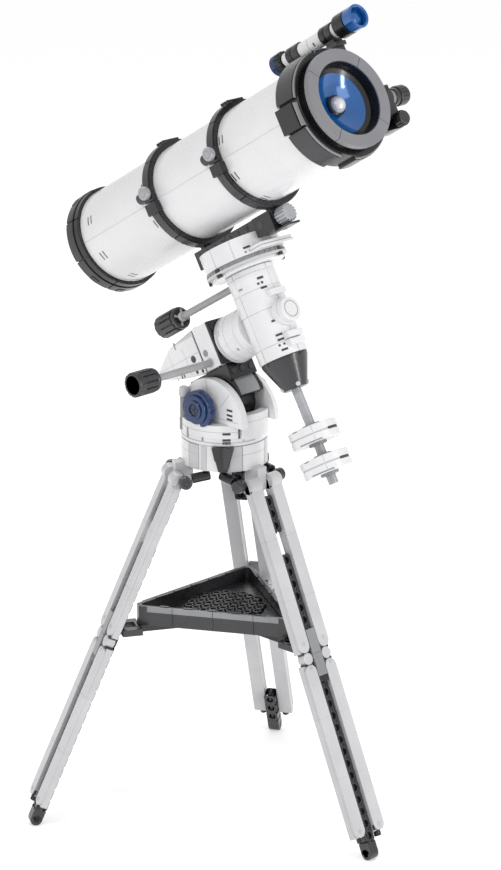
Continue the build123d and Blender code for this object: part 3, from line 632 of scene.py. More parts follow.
def make_azimuth_head():
    """The white drum with its panels, the two ears, the axle, knobs and post."""
    part = piece("pan_drum", "azimuth_head", WHITE, "azimuth_drum", place=UPRIGHT)
    low, floor, top = HUB_TOP + 0.3, 262.0, 271.0
    part.add(pipe(27.8, 4.1, floor - low, 0.3, 96), WHITE, up(low))
    edge = math.degrees(math.asin(12.4 / 28))
    for start, end in ((edge, 180 - edge), (180 + edge, 360 - edge)):
        outline = []
        for index in range(25):
            angle = math.radians(start + (end - start) * index / 24)
            outline.append((28 * math.cos(angle), 28 * math.sin(angle)))
        part.add(prism(outline, floor - 0.2, top, 0.5), WHITE)
    part.add(sector(24.6, 30.5, -23.5, 23.5, floor, 277.8, 0.6), WHITE)
    part.add(sector(25.0, 30.55, -23.3, 23.3, 272.9, 273.2, 0), "seam")
    part.seam(28, 266.6, 202, 338)
    part.seam(28, 266.6, 24, 158)
    part.seam(28.0, 259.6, 180, 360)
    part.slots(28.0, -42.2, [265.6, 261.6, 259.6], width=5.2, thick=1.5)
    for angle, height, width, thick, colour in ((-19, 264.5, 0.8, 8.0, "seam"), (-75, 261.4, 1.2, 2.6, MID),
                                                (-102, 263.5, 2.0, 6.5, MID)):
        part.slots(28.0, angle, [height], colour, width, thick)
    part.finish()
    for side, name in ((-1, "near"), (1, "far")):
        make_ear(side, name)
        make_knob(side, name)
    axle = piece("tilt_axle", "azimuth_head", BLACK, "latitude_axle", place=UPRIGHT)
    axle.rod(2.35, (PIVOT_X, -27.6, PIVOT_Z), (PIVOT_X, 27.6, PIVOT_Z), BLACK)
    axle.finish()
    post = piece("post", "azimuth_head", LIGHT, "lock_post", place=UPRIGHT @ at(-15.0, -21.5))
    post.rod(2.6, (0, 0, 262), (0, 0, 286), MID)
    post.rod(2.95, (0, 0, 262), (0, 0, 270), MID, 0.4)
    post.add(lathe([(0, 284.5), (2.9, 284.5), (3.35, 285.2), (3.35, 288.6), (2.7, 290.3), (1.4, 290.9),
                    (0, 291)], 36), LIGHT)
    post.finish()


def make_ear(side, name):
    """One round-topped ear with a raised rim and a fan of joints."""
    part = piece(f"ear_{name}", "azimuth_head", WHITE, f"fork_ear_{name}", place=UPRIGHT)
    near, far = side * EAR_INNER, side * EAR_OUTER[side]
    low, high = sorted((-near, -far))
    part.add(prism(arc(28.0, 0, 181, 5, 6.0, 271.0), low, high, 0.6), WHITE, STAND)
    shell = -far
    face = (shell - 0.3, shell + 0.05) if side < 0 else (shell - 0.05, shell + 0.3)
    for angle in (52, 100):
        a = math.radians(angle)
        x0, z0 = 6 + 14 * math.cos(a), 271 + 14 * math.sin(a)
        x1, z1 = 6 + 27.4 * math.cos(a), 271 + 27.4 * math.sin(a)
        dx, dz = -0.2 * math.sin(a), 0.2 * math.cos(a)
        strip = [(x0 - dx, z0 - dz), (x0 + dx, z0 + dz), (x1 + dx, z1 + dz), (x1 - dx, z1 - dz)]
        part.add(prism(strip, *sorted(face), 0), "seam", STAND)
    part.add(prism([(-8, 274.2), (30, 274.2), (30, 274.6), (-8, 274.6)], *sorted(face), 0), "seam", STAND)
    if side < 0:
        for height in (281.6, 278.3, 275.6):
            part.box((20.2, 25.4), (far - 0.05, far + 0.5), (height - 0.75, height + 0.75), "slot", 0.1)
    part.finish()


def make_knob(side, name):
    """An eight-lobed blue knob with a stepped hub."""
    part = piece(f"tilt_knob_{name}", f"latitude_knob_{name}", "blue", f"latitude_knob_{name}",
                 place=UPRIGHT @ at(PIVOT_X, 0, PIVOT_Z))
    outline = []
    for index in range(96):
        angle = 2 * math.pi * index / 96
        radius = 11.55 + 0.95 * abs(math.cos(4 * angle)) ** 0.6
        outline.append((radius * math.cos(angle), radius * math.sin(angle)))
    here = along((0, side * 22.0, 0), (0, side * 30.0, 0))
    part.add(prism(outline, 0.2, 5.4, 0.7, 40), "blue", here)
    part.add(rod(9.6, 6.9, 0.7, 64), "blue", here)
    part.add(pipe(6.2, 4.0, 1.0, 0.3, 48), "blue", here @ up(6.9))
    part.add(rod(3.9, 7.1, 0.2, 32), BLACK, here)
    part.add(box((-3, 3), (-0.6, 0.6), (6.9, 7.4), 0.1), "blue", here)
    part.add(box((-0.6, 0.6), (-3, 3), (6.9, 7.4), 0.1), "blue", here)
    part.finish()


# Polar assembly


def make_latitude_block():
    """The dark curved block between the ears."""
    part = piece("tilt_block", "polar_housing", DARK, "latitude_block")
    part.rod(15, (0, -11.5, 0), (0, 11.5, 0), BLACK, 0.6, 64)
    outline = arc(24.4, -7, 54, 4) + [(14, 19.5), (-8, 19.5), (-8, -3)]
    part.add(prism(outline, -11.5, 11.5, 0.5), BLACK, STAND)
    band = arc(24.5, -6, 33, 4) + arc(23.0, 32, -7, -4)
    part.add(prism(band, -8.6, 8.6, 0.4), MID, STAND)
    part.box((-13, 24.8), (-11.6, 11.6), (9, 19.5), BLACK, 0.5)
    for y in (-8, 0, 8):
        part.rod(2.2, (24.0, y, 14), (25.4, y, 14), DARK, 0.3, 24)
    part.finish()


def make_polar_housing():
    """The white housing with its tapering tail, dark joint, holes and slots."""
    part = piece("polar_case", "polar_housing", WHITE, "polar_housing")
    low, top, half = 19.6, POLAR_W + 16.0, 16.0
    part.box((11.0, 25.0), (-half, half), (low, top), WHITE, 0.5)
    part.box((9.4, 11.3), (-half + 0.8, half - 0.8), (low + 0.8, top - 0.8), BLACK, 0.1)
    outline = [(9.6, low), (9.6, top + 1.4), (-16, POLAR_W + 11.7), (-32.4, POLAR_W + 2),
               (-32.4, POLAR_W - 4), (-13, low + 3), (4, low)]
    body = prism(outline, -half, half, 0)
    for side in (-1, 1):
        cut = bmesh.ops.bisect_plane(body, geom=body.verts[:] + body.edges[:] + body.faces[:],
                                     plane_co=(9.6, top + 1.4, side * (half - 5.5)),
                                     plane_no=(0, 1, side), clear_outer=True)
        edges = [item for item in cut["geom_cut"] if isinstance(item, bmesh.types.BMEdge)]
        bmesh.ops.contextual_create(body, geom=edges)
    bmesh.ops.recalc_face_normals(body, faces=body.faces[:])
    part.add(bevelled(body, 0.5), WHITE, STAND)
    near = -half
    for u, w, radius, colour in ((2.8, 31.0, 2.4, "slot"), (15.5, 30.7, 2.3, MID),
                                 (16.4, POLAR_W - 8.8, 3.6, LIGHT), (1.8, 22.6, 1.3, "slot"),
                                 (7.1, 21.6, 1.3, "slot")):
        for side in (-1, 1):
            part.rod(radius, (u, side * (half - 0.6), w), (u, side * (half + 0.06), w), colour, 0.1, 32)
    for u in (-13.2, -10.9):
        part.box((u - 0.55, u + 0.55), (near - 0.05, near + 0.5), (23.2, 27.4), "slot", 0)
    part.box((-10.2, -9.0), (near - 0.05, near + 0.5), (42.0, 46.5), MID, 0)
    part.box((-31, 9), (near - 0.03, near + 0.5), (33.5, 33.8), "seam", 0)
    part.box((-31, 9), (-near - 0.5, -near + 0.03), (33.5, 33.8), "seam", 0)
    for u in (-4.0, -18.0):
        part.box((u, u + 0.3), (near - 0.03, near + 0.5), (low + 3.5, POLAR_W + 8), "seam", 0)
    part.finish()
    plate = piece("polar_plate", "polar_housing", BLACK, "polar_front_plate")
    plate.box((25.0, 26.9), (-half, half), (low, top), BLACK, 0.4)
    for y in (-12, 12):
        for w in (POLAR_W - 9, POLAR_W + 12):
            plate.rod(2.3, (26.5, y, w), (27.05, y, w), DARK, 0.2, 24)
    plate.finish()


def make_slow_motion(name, body, start, end, knob_end, radius):
    """A slow-motion rod with its ribbed knob."""
    part = piece(f"{name}_rod", body, MID, f"{name}_slow_rod")
    part.rod(2.35, start, end, "rod_grey", 0.3, 32)
    line = (Vector(end) - Vector(start)).normalized()
    collar = Vector(end) - line * 2.2
    part.rod(3.2, collar, end, LIGHT, 0.4, 32)
    part.finish()
    knob = piece(f"{name}_knob", body, DARK, f"{name}_slow_knob")
    here = along(end, knob_end)
    length = (Vector(knob_end) - Vector(end)).length
    knob.add(rod(radius - 0.9, length, 1.0, 64), BLACK, here)
    width = math.pi * radius / SLOW_KNOB_RIBS * 0.72
    knob.ribs(SLOW_KNOB_RIBS, (radius - 2.4, radius - 0.05), (-width, width), (length * 0.16, length - 0.3),
              DARK, 0.5, here)
    knob.add(rod(radius - 0.4, length * 0.15, 0.8, 64), DARK, here)
    knob.add(rod(radius - 0.3, length * 0.3, 0.8, 64), DARK, here @ up(length * 0.7))
    for angle in (0, 90):
        knob.add(box((-radius + 1.8, radius - 1.8), (-0.8, 0.8), (-0.06, 0.6), 0.1), SILVER,
                 here @ turn(angle + 20))
    knob.finish()


def make_polar_axis():
    """The polar drum, the declination housing and the dark cone under it."""
    drum = piece("polar_turning_drum", "polar_axis", WHITE, "polar_drum")
    axis = up(POLAR_W) @ AXIS_X
    face = 27.3
    drum.add(rod(15.2, DEC_U - face - 12, 0.5, 72), WHITE, axis @ up(face))
    drum.add(pipe(16.0, 9.0, 2.6, 0.5, 72), LIGHT, axis @ up(face))
    drum.add(pipe(15.9, 9.0, 15.0, 0.5, 72), WHITE, axis @ up(face + 3.4))
    drum.seam(15.9, face + 9.4, 0, 360, place=axis)
    drum.slots(15.9, 215, [face + 14.6], width=2.0, thick=1.4, material=MID, place=axis)
    drum.slots(15.9, 160, [face + 4.9], width=4.0, thick=1.2, material="seam", place=axis)
    drum.finish()
    shaft = piece("polar_spindle", "polar_axis", LIGHT, "polar_shaft")
    shaft.rod(3.9, (-6.8, 0, POLAR_W), (face, 0, POLAR_W), LIGHT)
    shaft.rod(5.7, (13.5, 0, POLAR_W), (19.3, 0, POLAR_W), MID)
    shaft.finish()
    make_dec_housing()
    cone_part = piece("weight_cone", "polar_axis", DARK, "counterweight_cone")
    low = POLAR_W - 26.0
    down = DEC @ up(low) @ turn(180, "X")
    cone_part.add(lathe([(0, 0), (15.0, 0), (15.4, 0.5), (15.2, 2.0), (8.4, 19.0), (8.0, 19.6), (8.0, 20.2),
                         (7.5, 20.5), (0, 20.5)], 64), DARK, down)
    for index in range(4):
        cone_part.add(lathe([(0, 0), (1.5, 0), (1.5, 1.0), (1.0, 1.5), (0, 1.6)], 20), LIGHT,
                      down @ turn(90 * index + 28) @ at(8.1, 0, 18.4) @ turn(72, "Y"))
        cone_part.add(box((14.4, 15.55), (-0.25, 0.25), (0.3, 2.4), 0), BLACK, down @ turn(90 * index))
    cone_part.finish()
    bar = piece("weight_shaft", "polar_axis", MID, "counterweight_shaft")
    bar.rod(3.15, (DEC_U, 0, POLAR_W - 40), (DEC_U, 0, POLAR_W - 110.8), SILVER, 0.5, 32)
    for index in range(8):
        w = POLAR_W - 50 - 8 * index
        bar.add(pipe(3.28, 2.6, 1.0, 0.2, 32), SILVER, DEC @ up(w))
    bar.finish()


def make_dec_housing():
    """The white declination housing: a panelled drum, a round front cap and stepped plates."""
    part = piece("dec_case", "polar_axis", WHITE, "dec_housing")
    low, top = POLAR_W - 26.0, POLAR_W + 33.5
    part.add(rod(15.4, top - low, 0.4, 72), WHITE, DEC @ up(low))
    panels = ((low + 0.1, low + 8.6), (low + 8.9, POLAR_W + 5.3), (POLAR_W + 5.6, top - 14.5),
              (top - 14.2, top - 3.4), (top - 3.1, top))
    for index, (bottom, upper) in enumerate(panels):
        for start in (-90, 0, 90, 180):
            inset = 0.0 if index % 2 == 0 else 0.25
            part.add(sector(13.5, 16.0 - inset, start + 1, start + 89.2, bottom, upper, 0.35), WHITE, DEC)
    for height in (57.9, 51.4):
        part.slots(16.0, -25.5, [height], width=4.2, thick=1.5, place=DEC)
    part.dots(16.0, -30, 54.7, 2.6, place=DEC)
    part.slots(16.0, -31.6, [29.5], width=4.0, thick=1.3, place=DEC)
    for height in (20.2, 17.0, 10.3):
        part.slots(16.0, -34, [height], width=4.4, thick=1.4, place=DEC)
    part.dots(16.0, -36, 13.7, 3.2, place=DEC)
    part.slots(16.0, -80, [55.5], width=3.0, thick=1.0, material=MID, place=DEC)
    cap = up(POLAR_W) @ AXIS_X
    part.add(pipe(8.8, 3.0, 4.6, 0.5, 48), WHITE, cap @ up(DEC_U + 13.4))
    part.add(rod(8.0, 5.4, 0.8, 48), WHITE, cap @ up(DEC_U + 17.5))
    part.add(pipe(5.6, 4.8, 0.4, 0.1, 40), "seam", cap @ up(DEC_U + 22.65))
    for w, reach in ((POLAR_W - 14.5, 18.8), (POLAR_W - 19.5, 18.2), (POLAR_W + 14.0, 18.6)):
        part.box((DEC_U + 10, DEC_U + reach), (-6.5, 6.5), (w - 2.1, w + 2.1), WHITE, 0.4)
    part.finish()


def make_weight(name, middle):
    """A white round weight with a dark joint, a collar and edge slots."""
    part = piece(f"weight_{name}", f"counterweight_{name}", WHITE, f"counterweight_{name}")
    low = middle - 5.5
    part.add(pipe(16.0, 3.3, 5.3, 0.5, 72), WHITE, DEC @ up(low))
    part.add(pipe(15.5, 3.3, 0.7, 0.1, 72), "seam", DEC @ up(low + 5.2))
    part.add(pipe(16.0, 3.3, 5.1, 0.5, 72), WHITE, DEC @ up(low + 5.9))
    part.add(pipe(6.0, 3.35, 1.6, 0.3, 40), MID, DEC @ up(low - 1.5))
    part.add(pipe(6.0, 3.35, 1.6, 0.3, 40), MID, DEC @ up(low + 10.9))
    part.slots(16.0, -88, [low + 10.3], width=4.0, thick=0.8, material=MID, place=DEC)
    part.slots(16.0, -58, [low + 0.8], width=16.0, thick=0.9, material=MID, place=DEC)
    part.slots(16.0, 10, [low + 5.5], width=9.0, thick=1.8, material="slot", place=DEC)
    for angle in (45, 135, 225, 315):
        part.slots(16.0, angle, [low + 2.5, low + 8.5], width=0.3, thick=4.2, material="seam", place=DEC)
    part.finish()


# Declination head and saddle


def make_dec_head():
    """The grey turntable, white drum, dark saddle bar and clamp."""
    turntable = piece("dec_ring", "dec_head", MID, "dec_turntable")
    low, high = POLAR_W + 33.8, POLAR_W + 40.0
    turntable.add(pipe(24.0, 4.1, 2.4, 0.4, 72), WHITE, DEC @ up(low))
    turntable.add(pipe(27.0, 4.1, 1.8, 0.4, 96), LIGHT, DEC @ up(low + 2.2))
    turntable.add(pipe(26.0, 4.1, 2.2, 0.2, 96), MID, DEC @ up(high - 2.3))
    turntable.ribs(36, (25.6, 26.5), (-0.8, 0.8), (high - 2.2, high - 0.3), MID, 0.2, DEC)
    for angle, width in ((16, 9), (-88, 8), (150, 9), (75, 8), (215, 8)):
        half = width / 2
        turntable.add(sector(25.2, 26.95, angle - half, angle + half, low + 0.2, high - 0.3, 0.3),
                      BLACK, DEC)
    turntable.finish()
    spindle = piece("dec_spindle", "dec_head", LIGHT, "dec_shaft")
    spindle.rod(3.9, (DEC_U, 0, POLAR_W - 14), (DEC_U, 0, POLAR_W + 33.8), LIGHT)
    spindle.rod(5.7, (DEC_U, 0, POLAR_W + 24.4), (DEC_U, 0, POLAR_W + 30.2), MID)
    spindle.finish()
    drum = piece("saddle_drum", "dec_head", WHITE, "dec_drum")
    bottom, top = POLAR_W + 40.0, POLAR_W + 53.0
    drum.add(rod(25.4, top - bottom, 0.4, 96), WHITE, DEC @ up(bottom))
    for start, end in ((-88, -56), (-55, -8), (8, 55), (56, 124), (125, 180), (181, 235), (236, 271)):
        drum.add(sector(24, 26, start, end, bottom + 0.2, top - 0.1, 0.4), WHITE, DEC)
    drum.slots(26, -34.5, [bottom + 4.9], width=4.6, thick=1.4, place=DEC)
    drum.dots(26, -34.5, bottom + 2.2, 3.2, material=MID, place=DEC)
    drum.box((DEC_U + 14, DEC_U + 34), (-14, 14), (bottom, bottom + 1.8), WHITE, 0.4)
    drum.box((DEC_U + 14, DEC_U + 33.6), (-13.6, 13.6), (bottom + 2.0, bottom + 4.0), WHITE, 0.4)
    for x in (28, 31.6):
        for y in (-10, -2, 6):
            drum.rod(1.6, (DEC_U + x - 1, y + 2, bottom + 3.6), (DEC_U + x - 1, y + 2, bottom + 4.1),
                     WHITE, 0.2, 20)
    drum.finish()
    bar = piece("saddle_bar", "dec_head", DARK, "dovetail_bar")
    bar_low, bar_high = POLAR_W + 53.0, POLAR_W + 59.8
    for start, end in ((DEC_U - 35, DEC_U - 3), (DEC_U - 2.8, DEC_U + 20), (DEC_U + 20.2, DEC_U + 44)):
        bar.box((start, end), (-6, 6), (bar_low, bar_high), DARK, 0.5)
    bar.box((DEC_U - 35, DEC_U - 28), (-6, 6), (POLAR_W + 47.7, bar_low + 0.5), BLACK, 0.5)
    for index in range(9):
        u = DEC_U - 30 + STUD * index
        for side in (-1, 1):
            bar.rod(1.7, (u, side * 5.6, bar_low + 3.4), (u, side * 6.05, bar_low + 3.4), BLACK, 0.1, 20)
    bar.finish()
    clamp = piece("saddle_block", "dec_head", BLACK, "saddle_clamp")
    clamp_low = POLAR_W + 47.3
    for side in (-1, 1):
        y = sorted((side * 6.05, side * 8))
        clamp.box((DEC_U + 27, DEC_U + 44), y, (clamp_low, bar_high), BLACK, 0.4)
    clamp.box((DEC_U + 27, DEC_U + 44), (-7.6, 7.6), (clamp_low, bar_low - 0.1), BLACK, 0.5)
    clamp.box((DEC_U + 40, DEC_U + 54.3), (-5, 5), (clamp_low - 1.5, clamp_low), DARK, 0.4)
    clamp.rod(2.6, (DEC_U + 33, -8.2, bar_low + 1), (DEC_U + 33, -7.6, bar_low + 1), DARK, 0.2, 24)
    clamp.finish()
    knob = piece("saddle_screw", "saddle_knob", MID, "saddle_knob")
    line = at(DEC_U + 44.3, 0, POLAR_W + 53.7) @ AXIS_X
    knob.add(rod(5.0, 9.6, 0.5, 48), SILVER, line)
    knob.add(rod(1.45, 9.0, 0.1, 20), SILVER, line @ up(-4.2))
    knob.ribs(16, (4.6, 5.95), (-0.62, 0.62), (1.0, 9.3), SILVER, 0.3, line)
    knob.finish()


def ring_sectors(part, start, spans, inner=32.06):
    """Curved dark segments round the tube."""
    for low, high in spans:
        part.add(sector(33.2, 36.0, low, high, start + 0.9, start + 7.1, 0.4), DARK, TUBE)
        part.add(sector(inner, 35.2, low - 0.4, high + 0.4, start + 0.2, start + 7.8, 0.3), BLACK, TUBE)


def make_rings():
    """Both tube rings, each an opening upper half, a fixed lower half and a clamp knob."""
    for name, start in RING_REARS.items():
        end = start + STUD
        upper = piece(f"{name}_ring_top", f"{name}_ring_upper", DARK, f"{name}_ring_upper")
        ring_sectors(upper, start, ((1.5, 44.5), (45.5, 84), (97, 134.5), (135.5, 178)))
        upper.add(sector(32.1, 36.2, 82, 98, start + 0.3, end - 0.3, 0.4), BLACK, TUBE)
        for index in range(3):
            u = start + 0.5 + 2.6 * index
            upper.box((u, u + 1.7), (-9, 5), (TUBE_W + 34.6, TUBE_W + 36.8), DARK, 0.3)
        w = TUBE_W + 5.1
        upper.box((start + 0.2, end + 0.8), (-36.6, -32.4), (TUBE_W + 0.4, TUBE_W + 9.6), BLACK, 0.5)
        upper.rod(3.7, (start - 5, -34.2, w + 0.2), (start + 0.6, -34.2, w + 0.2), DARK, 0.6, 32)
        upper.rod(2.2, (start - 5.05, -34.2, w + 0.2), (start - 4.6, -34.2, w + 0.2), BLACK, 0.1, 24)
        upper.box((start + 2.9, end - 2.9), (34, 40.4), (TUBE_W + 0.3, TUBE_W + 2.5), BLACK, 0.3)
        upper.rod(2.5, (start + 2.85, 40.5, TUBE_W), (end - 2.85, 40.5, TUBE_W), BLACK, 0.2, 32)
        upper.finish()
        lower = piece(f"{name}_ring_base", "dec_head", DARK, f"{name}_ring_lower")
        ring_sectors(lower, start, ((182, 224.5), (225.5, 264), (276, 314.5), (315.5, 358)))
        lower.add(sector(32.1, 35.9, 262, 278, start + 0.3, end - 0.3, 0.4), BLACK, TUBE)
        lower.box((start + 0.1, start + 3.4), (-6, 6), (POLAR_W + 59.6, TUBE_W - 33.2), BLACK, 0.3)
        lower.box((start - 0.9, end + 1.4), (-36.9, -32.3), (TUBE_W - 7.8, TUBE_W - 0.3), BLACK, 0.5)
        for low, high in ((start, start + 2.5), (end - 2.5, end)):
            lower.box((low, high), (34, 40.4), (TUBE_W - 2.5, TUBE_W - 0.3), BLACK, 0.3)
            lower.rod(2.55, (low, 40.5, TUBE_W), (high, 40.5, TUBE_W), BLACK, 0.2, 32)
        lower.rod(1.2, (start, 40.5, TUBE_W), (end, 40.5, TUBE_W), DARK, 0.1, 24)
        lower.finish()
        screw = piece(f"{name}_ring_screw", f"{name}_ring_knob", MID, f"{name}_ring_knob")
        u, w = start + 6.0, TUBE_W + 6.3
        outward = along((u, RING_FACE_Y - 0.3, w), (u, RING_FACE_Y - 4.0, w))
        screw.add(rod(4.35, 3.7, 0.9, 48), SILVER, outward)
        screw.add(pipe(2.6, 2.0, 0.3, 0.1, 32), MID, outward @ up(3.45))
        screw.rod(1.45, (u, RING_FACE_Y + 2.4, w), (u, RING_FACE_Y - 1, w), SILVER, 0.1, 20)
        screw.finish()


# Optical tube


def make_tube():
    """The white tube with its joint lines and rows of paired slots."""
    part = piece("tube", "optical_tube", WHITE, "tube_shell")
    length = COLLAR_REAR - TUBE_REAR
    part.add(pipe(TUBE_RADIUS, 28.0, length, 0.3, 128), WHITE, TUBE @ up(TUBE_REAR))
    for angle in (179, -1):
        part.add(sector(TUBE_RADIUS - 0.5, TUBE_RADIUS + 0.04, angle - 0.25, angle + 0.25,
                        TUBE_REAR, COLLAR_REAR, 0), "seam", TUBE)
    for u in (-25.4, 33.4, 115.0, 174.4 - 0.5):
        for index in range(8):
            angle = 22.5 + 45 * index
            for shift in (-1.6, 1.6):
                if u + shift + 0.5 < COLLAR_REAR:
                    part.slots(TUBE_RADIUS, angle, [u + shift], width=5.6, thick=0.95, place=TUBE)
    part.finish()


def make_cap():
    """The dark rear cell: curved segments, a black inner band and a ribbed end plate."""
    part = piece("rear_cell", "optical_tube", DARK, "rear_cap")
    part.add(lathe([(0, CAP_REAR), (32.6, CAP_REAR), (33.4, CAP_REAR + 0.8), (33.4, TUBE_REAR - 0.8),
                    (32.6, TUBE_REAR), (28.1, TUBE_REAR), (28.1, CAP_REAR + 4), (0, CAP_REAR + 4)], 96),
             BLACK, TUBE)
    for index in range(8):
        base = 14 + 45 * index
        part.add(sector(32.6, 35.0, base + 0.5, base + 44.5, CAP_REAR + 0.4, CAP_REAR + 7.4, 0.6),
                 DARK, TUBE)
        part.add(sector(32.6, 34.3, base + 0.5, base + 44.5, CAP_REAR + 8.0, TUBE_REAR, 0.3),
                 BLACK, TUBE)
        spoke = TUBE @ turn(base) @ up(CAP_REAR)
        part.add(box((12, 31), (-0.2, 0.2), (-0.04, 0.6), 0), BLACK, spoke)
    for angle in (-106, 120, 14, 220):
        part.add(sector(33, 35.4, angle - 5, angle + 5, CAP_REAR + 0.8, CAP_REAR + 4.5, 0.4), BLACK, TUBE)
    part.add(pipe(31.0, 29.6, 0.8, 0.2, 96), DARK, TUBE @ up(CAP_REAR - 0.04))
    part.add(pipe(12.0, 10.6, 0.8, 0.2, 64), DARK, TUBE @ up(CAP_REAR - 0.04))
    part.finish()


def make_mouth():
    """The dark front collar, grey face ring, blue dish and pearl dome."""
    part = piece("collar", "optical_tube", DARK, "front_collar")
    deep = COLLAR_FRONT - COLLAR_REAR
    part.add(pipe(34.4, 26.1, deep, 0.4, 96), BLACK, TUBE @ up(COLLAR_REAR))
    part.add(pipe(30.0, 26.1, FACE_U - 4.1 - COLLAR_FRONT + 0.5, 0.2, 96), BLACK,
             TUBE @ up(COLLAR_FRONT - 0.4))
    spans = ((100, 164), (195, 243), (262, 318), (0, 58), (64, 96), (322, 356))
    for low, high in spans:
        part.add(sector(33.8, 36.5, low, high, COLLAR_REAR + 0.2, COLLAR_FRONT - 2.4, 0.6), DARK, TUBE)
        part.add(sector(34.0, 36.1, low, high, COLLAR_FRONT - 2.2, COLLAR_FRONT - 0.9, 0.3), MID, TUBE)
        part.add(sector(30.5, 35.2, low, high, COLLAR_FRONT - 0.9, COLLAR_FRONT - 0.1, 0.2), BLACK, TUBE)
    part.box((COLLAR_REAR, COLLAR_FRONT - 2.6), (-38, -32.5), (TUBE_W - 8.6, TUBE_W + 7.6), BLACK, 0.6)
    part.box((COLLAR_FRONT - 2.2, COLLAR_FRONT - 1.2), (-37.4, -32), (TUBE_W - 8.0, TUBE_W + 7.0),
             MID, 0.3)
    part.finish()
    ring = piece("mouth_ring", "optical_tube", MID, "face_ring")
    for start in (47, 137, 227, 317):
        ring.add(sector(24.0, 32.0, start + 0.25, start + 89.75, FACE_U - 4, FACE_U, 0.35),
                 "face_grey", TUBE)
    ring.add(pipe(31.5, 24.3, 3.4, 0.1, 96), "slot", TUBE @ up(FACE_U - 3.9))
    ring.add(pipe(24.3, 23.6, 6.0, 0.1, 96), BLACK, TUBE @ up(FACE_U - 6.8))
    ring.finish()
    dish = piece("dish", "optical_tube", "blue_dish", "primary_mirror")
    front = FACE_U - 7.0
    profile = [(26.0, front - 11), (26.0, front - 0.4), (25.6, front), (21.9, front)]
    profile += [(34 * math.sin(math.radians(a)), front + 26 - 34 * math.cos(math.radians(a)))
                for a in (39, 35, 31, 27, 23, 19, 15, 11, 7, 3.5)]
    # The black outer band of the dish, from r 26 in to about r 19.5, is painted shade standing in for the
    # dark shade inside the mouth round the blue.
    dish.add(lathe(profile[:6], 96), BLACK, TUBE)
    dish.add(lathe(profile[5:] + [(0, front - 8)], 96), "blue_dish", TUBE)
    dish.add(lathe([(26.0, front - 11), (0, front - 11)], 96), BLACK, TUBE)
    bmesh.ops.remove_doubles(dish.mesh, verts=dish.mesh.verts[:], dist=0.01)
    dish.finish()
    dome = piece("dome", "optical_tube", "pearl", "secondary_dome")
    seat = FACE_U - 15 + 0.63
    dome.add(lathe([(0, seat), (6.2, seat), (6.5, seat + 0.4), (6.5, seat + 2.2), (6.0, seat + 2.6),
                    (4.9, seat + 2.6), (4.9, seat + 1.9), (0, seat + 1.9)], 64), BLACK, TUBE)
    dome.add(lathe([(5.3 * math.cos(math.radians(a)), seat + 2.4 + 5.0 * math.sin(math.radians(a)))
                    for a in range(0, 90, 10)] + [(0, seat + 2.4 + 5.0)], 48), "pearl", TUBE)
    dome.finish()


def make_finder():
    """The small blue-ended finder on its dark bracket."""
    bracket = piece("finder_foot", "optical_tube", DARK, "finder_bracket")
    across, low = (FINDER_Y - 4, FINDER_Y + 4), TUBE_W + 30.5
    bracket.box((COLLAR_REAR + 2, COLLAR_REAR + 9), across, (low, FINDER_W - 9.5), BLACK, 0.4)
    bracket.box((COLLAR_REAR + 9.3, COLLAR_REAR + 16), across, (low + 0.5, FINDER_W - 9.5), DARK, 0.4)
    for start, end in ((DEC_U + 82, DEC_U + 105.8), (DEC_U + 106, DEC_U + 130)):
        bracket.box((start, end), (FINDER_Y - 4.6, FINDER_Y + 4), (FINDER_W - 10, FINDER_W - 7.1),
                    DARK, 0.4)
    for u in (DEC_U + 88, DEC_U + 120):
        bracket.box((u, u + 8), (FINDER_Y - 3.8, FINDER_Y + 3.8), (FINDER_W - 7.4, FINDER_W - 4.6),
                    BLACK, 0.4)
        bracket.rod(1.8, (u + 4, FINDER_Y - 4.1, FINDER_W - 8.6), (u + 4, FINDER_Y - 3.5, FINDER_W - 8.6),
                    "slot", 0.1, 20)
    bracket.finish()
    part = piece("finder", "optical_tube", WHITE, "finder_tube")
    steps = ((81, 86, 4.8, WHITE), (86, 91, 6.0, BLACK), (91.3, 97, 6.0, DARK),
             (97, 106.5, 5.0, WHITE), (106.8, 118.5, 5.0, WHITE), (118.5, 123.5, 6.0, BLACK),
             (123.8, 129, 6.0, DARK), (129, 134, 5.0, WHITE), (134, 143.6, 7.8, BLACK))
    for start, end, radius, colour in steps:
        part.add(rod(radius, end - start, 0.5), colour, FINDER @ up(DEC_U + start))
    part.add(pipe(7.8, 5.9, 8.0, 0.6), "blue_dish", FINDER @ up(DEC_U + 144.0))
    part.add(rod(6.0, 1.0, 0.2), "slot", FINDER @ up(DEC_U + 143.6))
    part.add(lathe([(0, 149.4), (2.5, 149.2), (4.6, 148.4), (5.95, 147.2), (5.95, 144.6)], 48), "blue_dish",
             FINDER @ up(DEC_U))
    part.slots(5.0, 245, [DEC_U + 107], width=3.0, thick=1.2, place=FINDER)
    part.slots(5.0, 200, [DEC_U + 112], width=2.6, thick=1.2, place=FINDER)
    part.finish()
    eyepiece = piece("finder_eye", "finder_eyepiece", "blue", "finder_eyepiece")
    eyepiece.add(pipe(6.9, 4.4, 5.0, 0.7), "blue", FINDER @ up(DEC_U + 71))
    eyepiece.add(rod(6.4, 4.6, 0.5), BLACK, FINDER @ up(DEC_U + 75.9))
    eyepiece.add(rod(4.5, 3.4, 0.2), BLACK, FINDER @ up(DEC_U + 72.4))
    eyepiece.ribs(14, (6.2, 6.95), (-0.7, 0.7), (DEC_U + 76.4, DEC_U + 80.0), BLACK, 0.2, FINDER)
    eyepiece.finish()


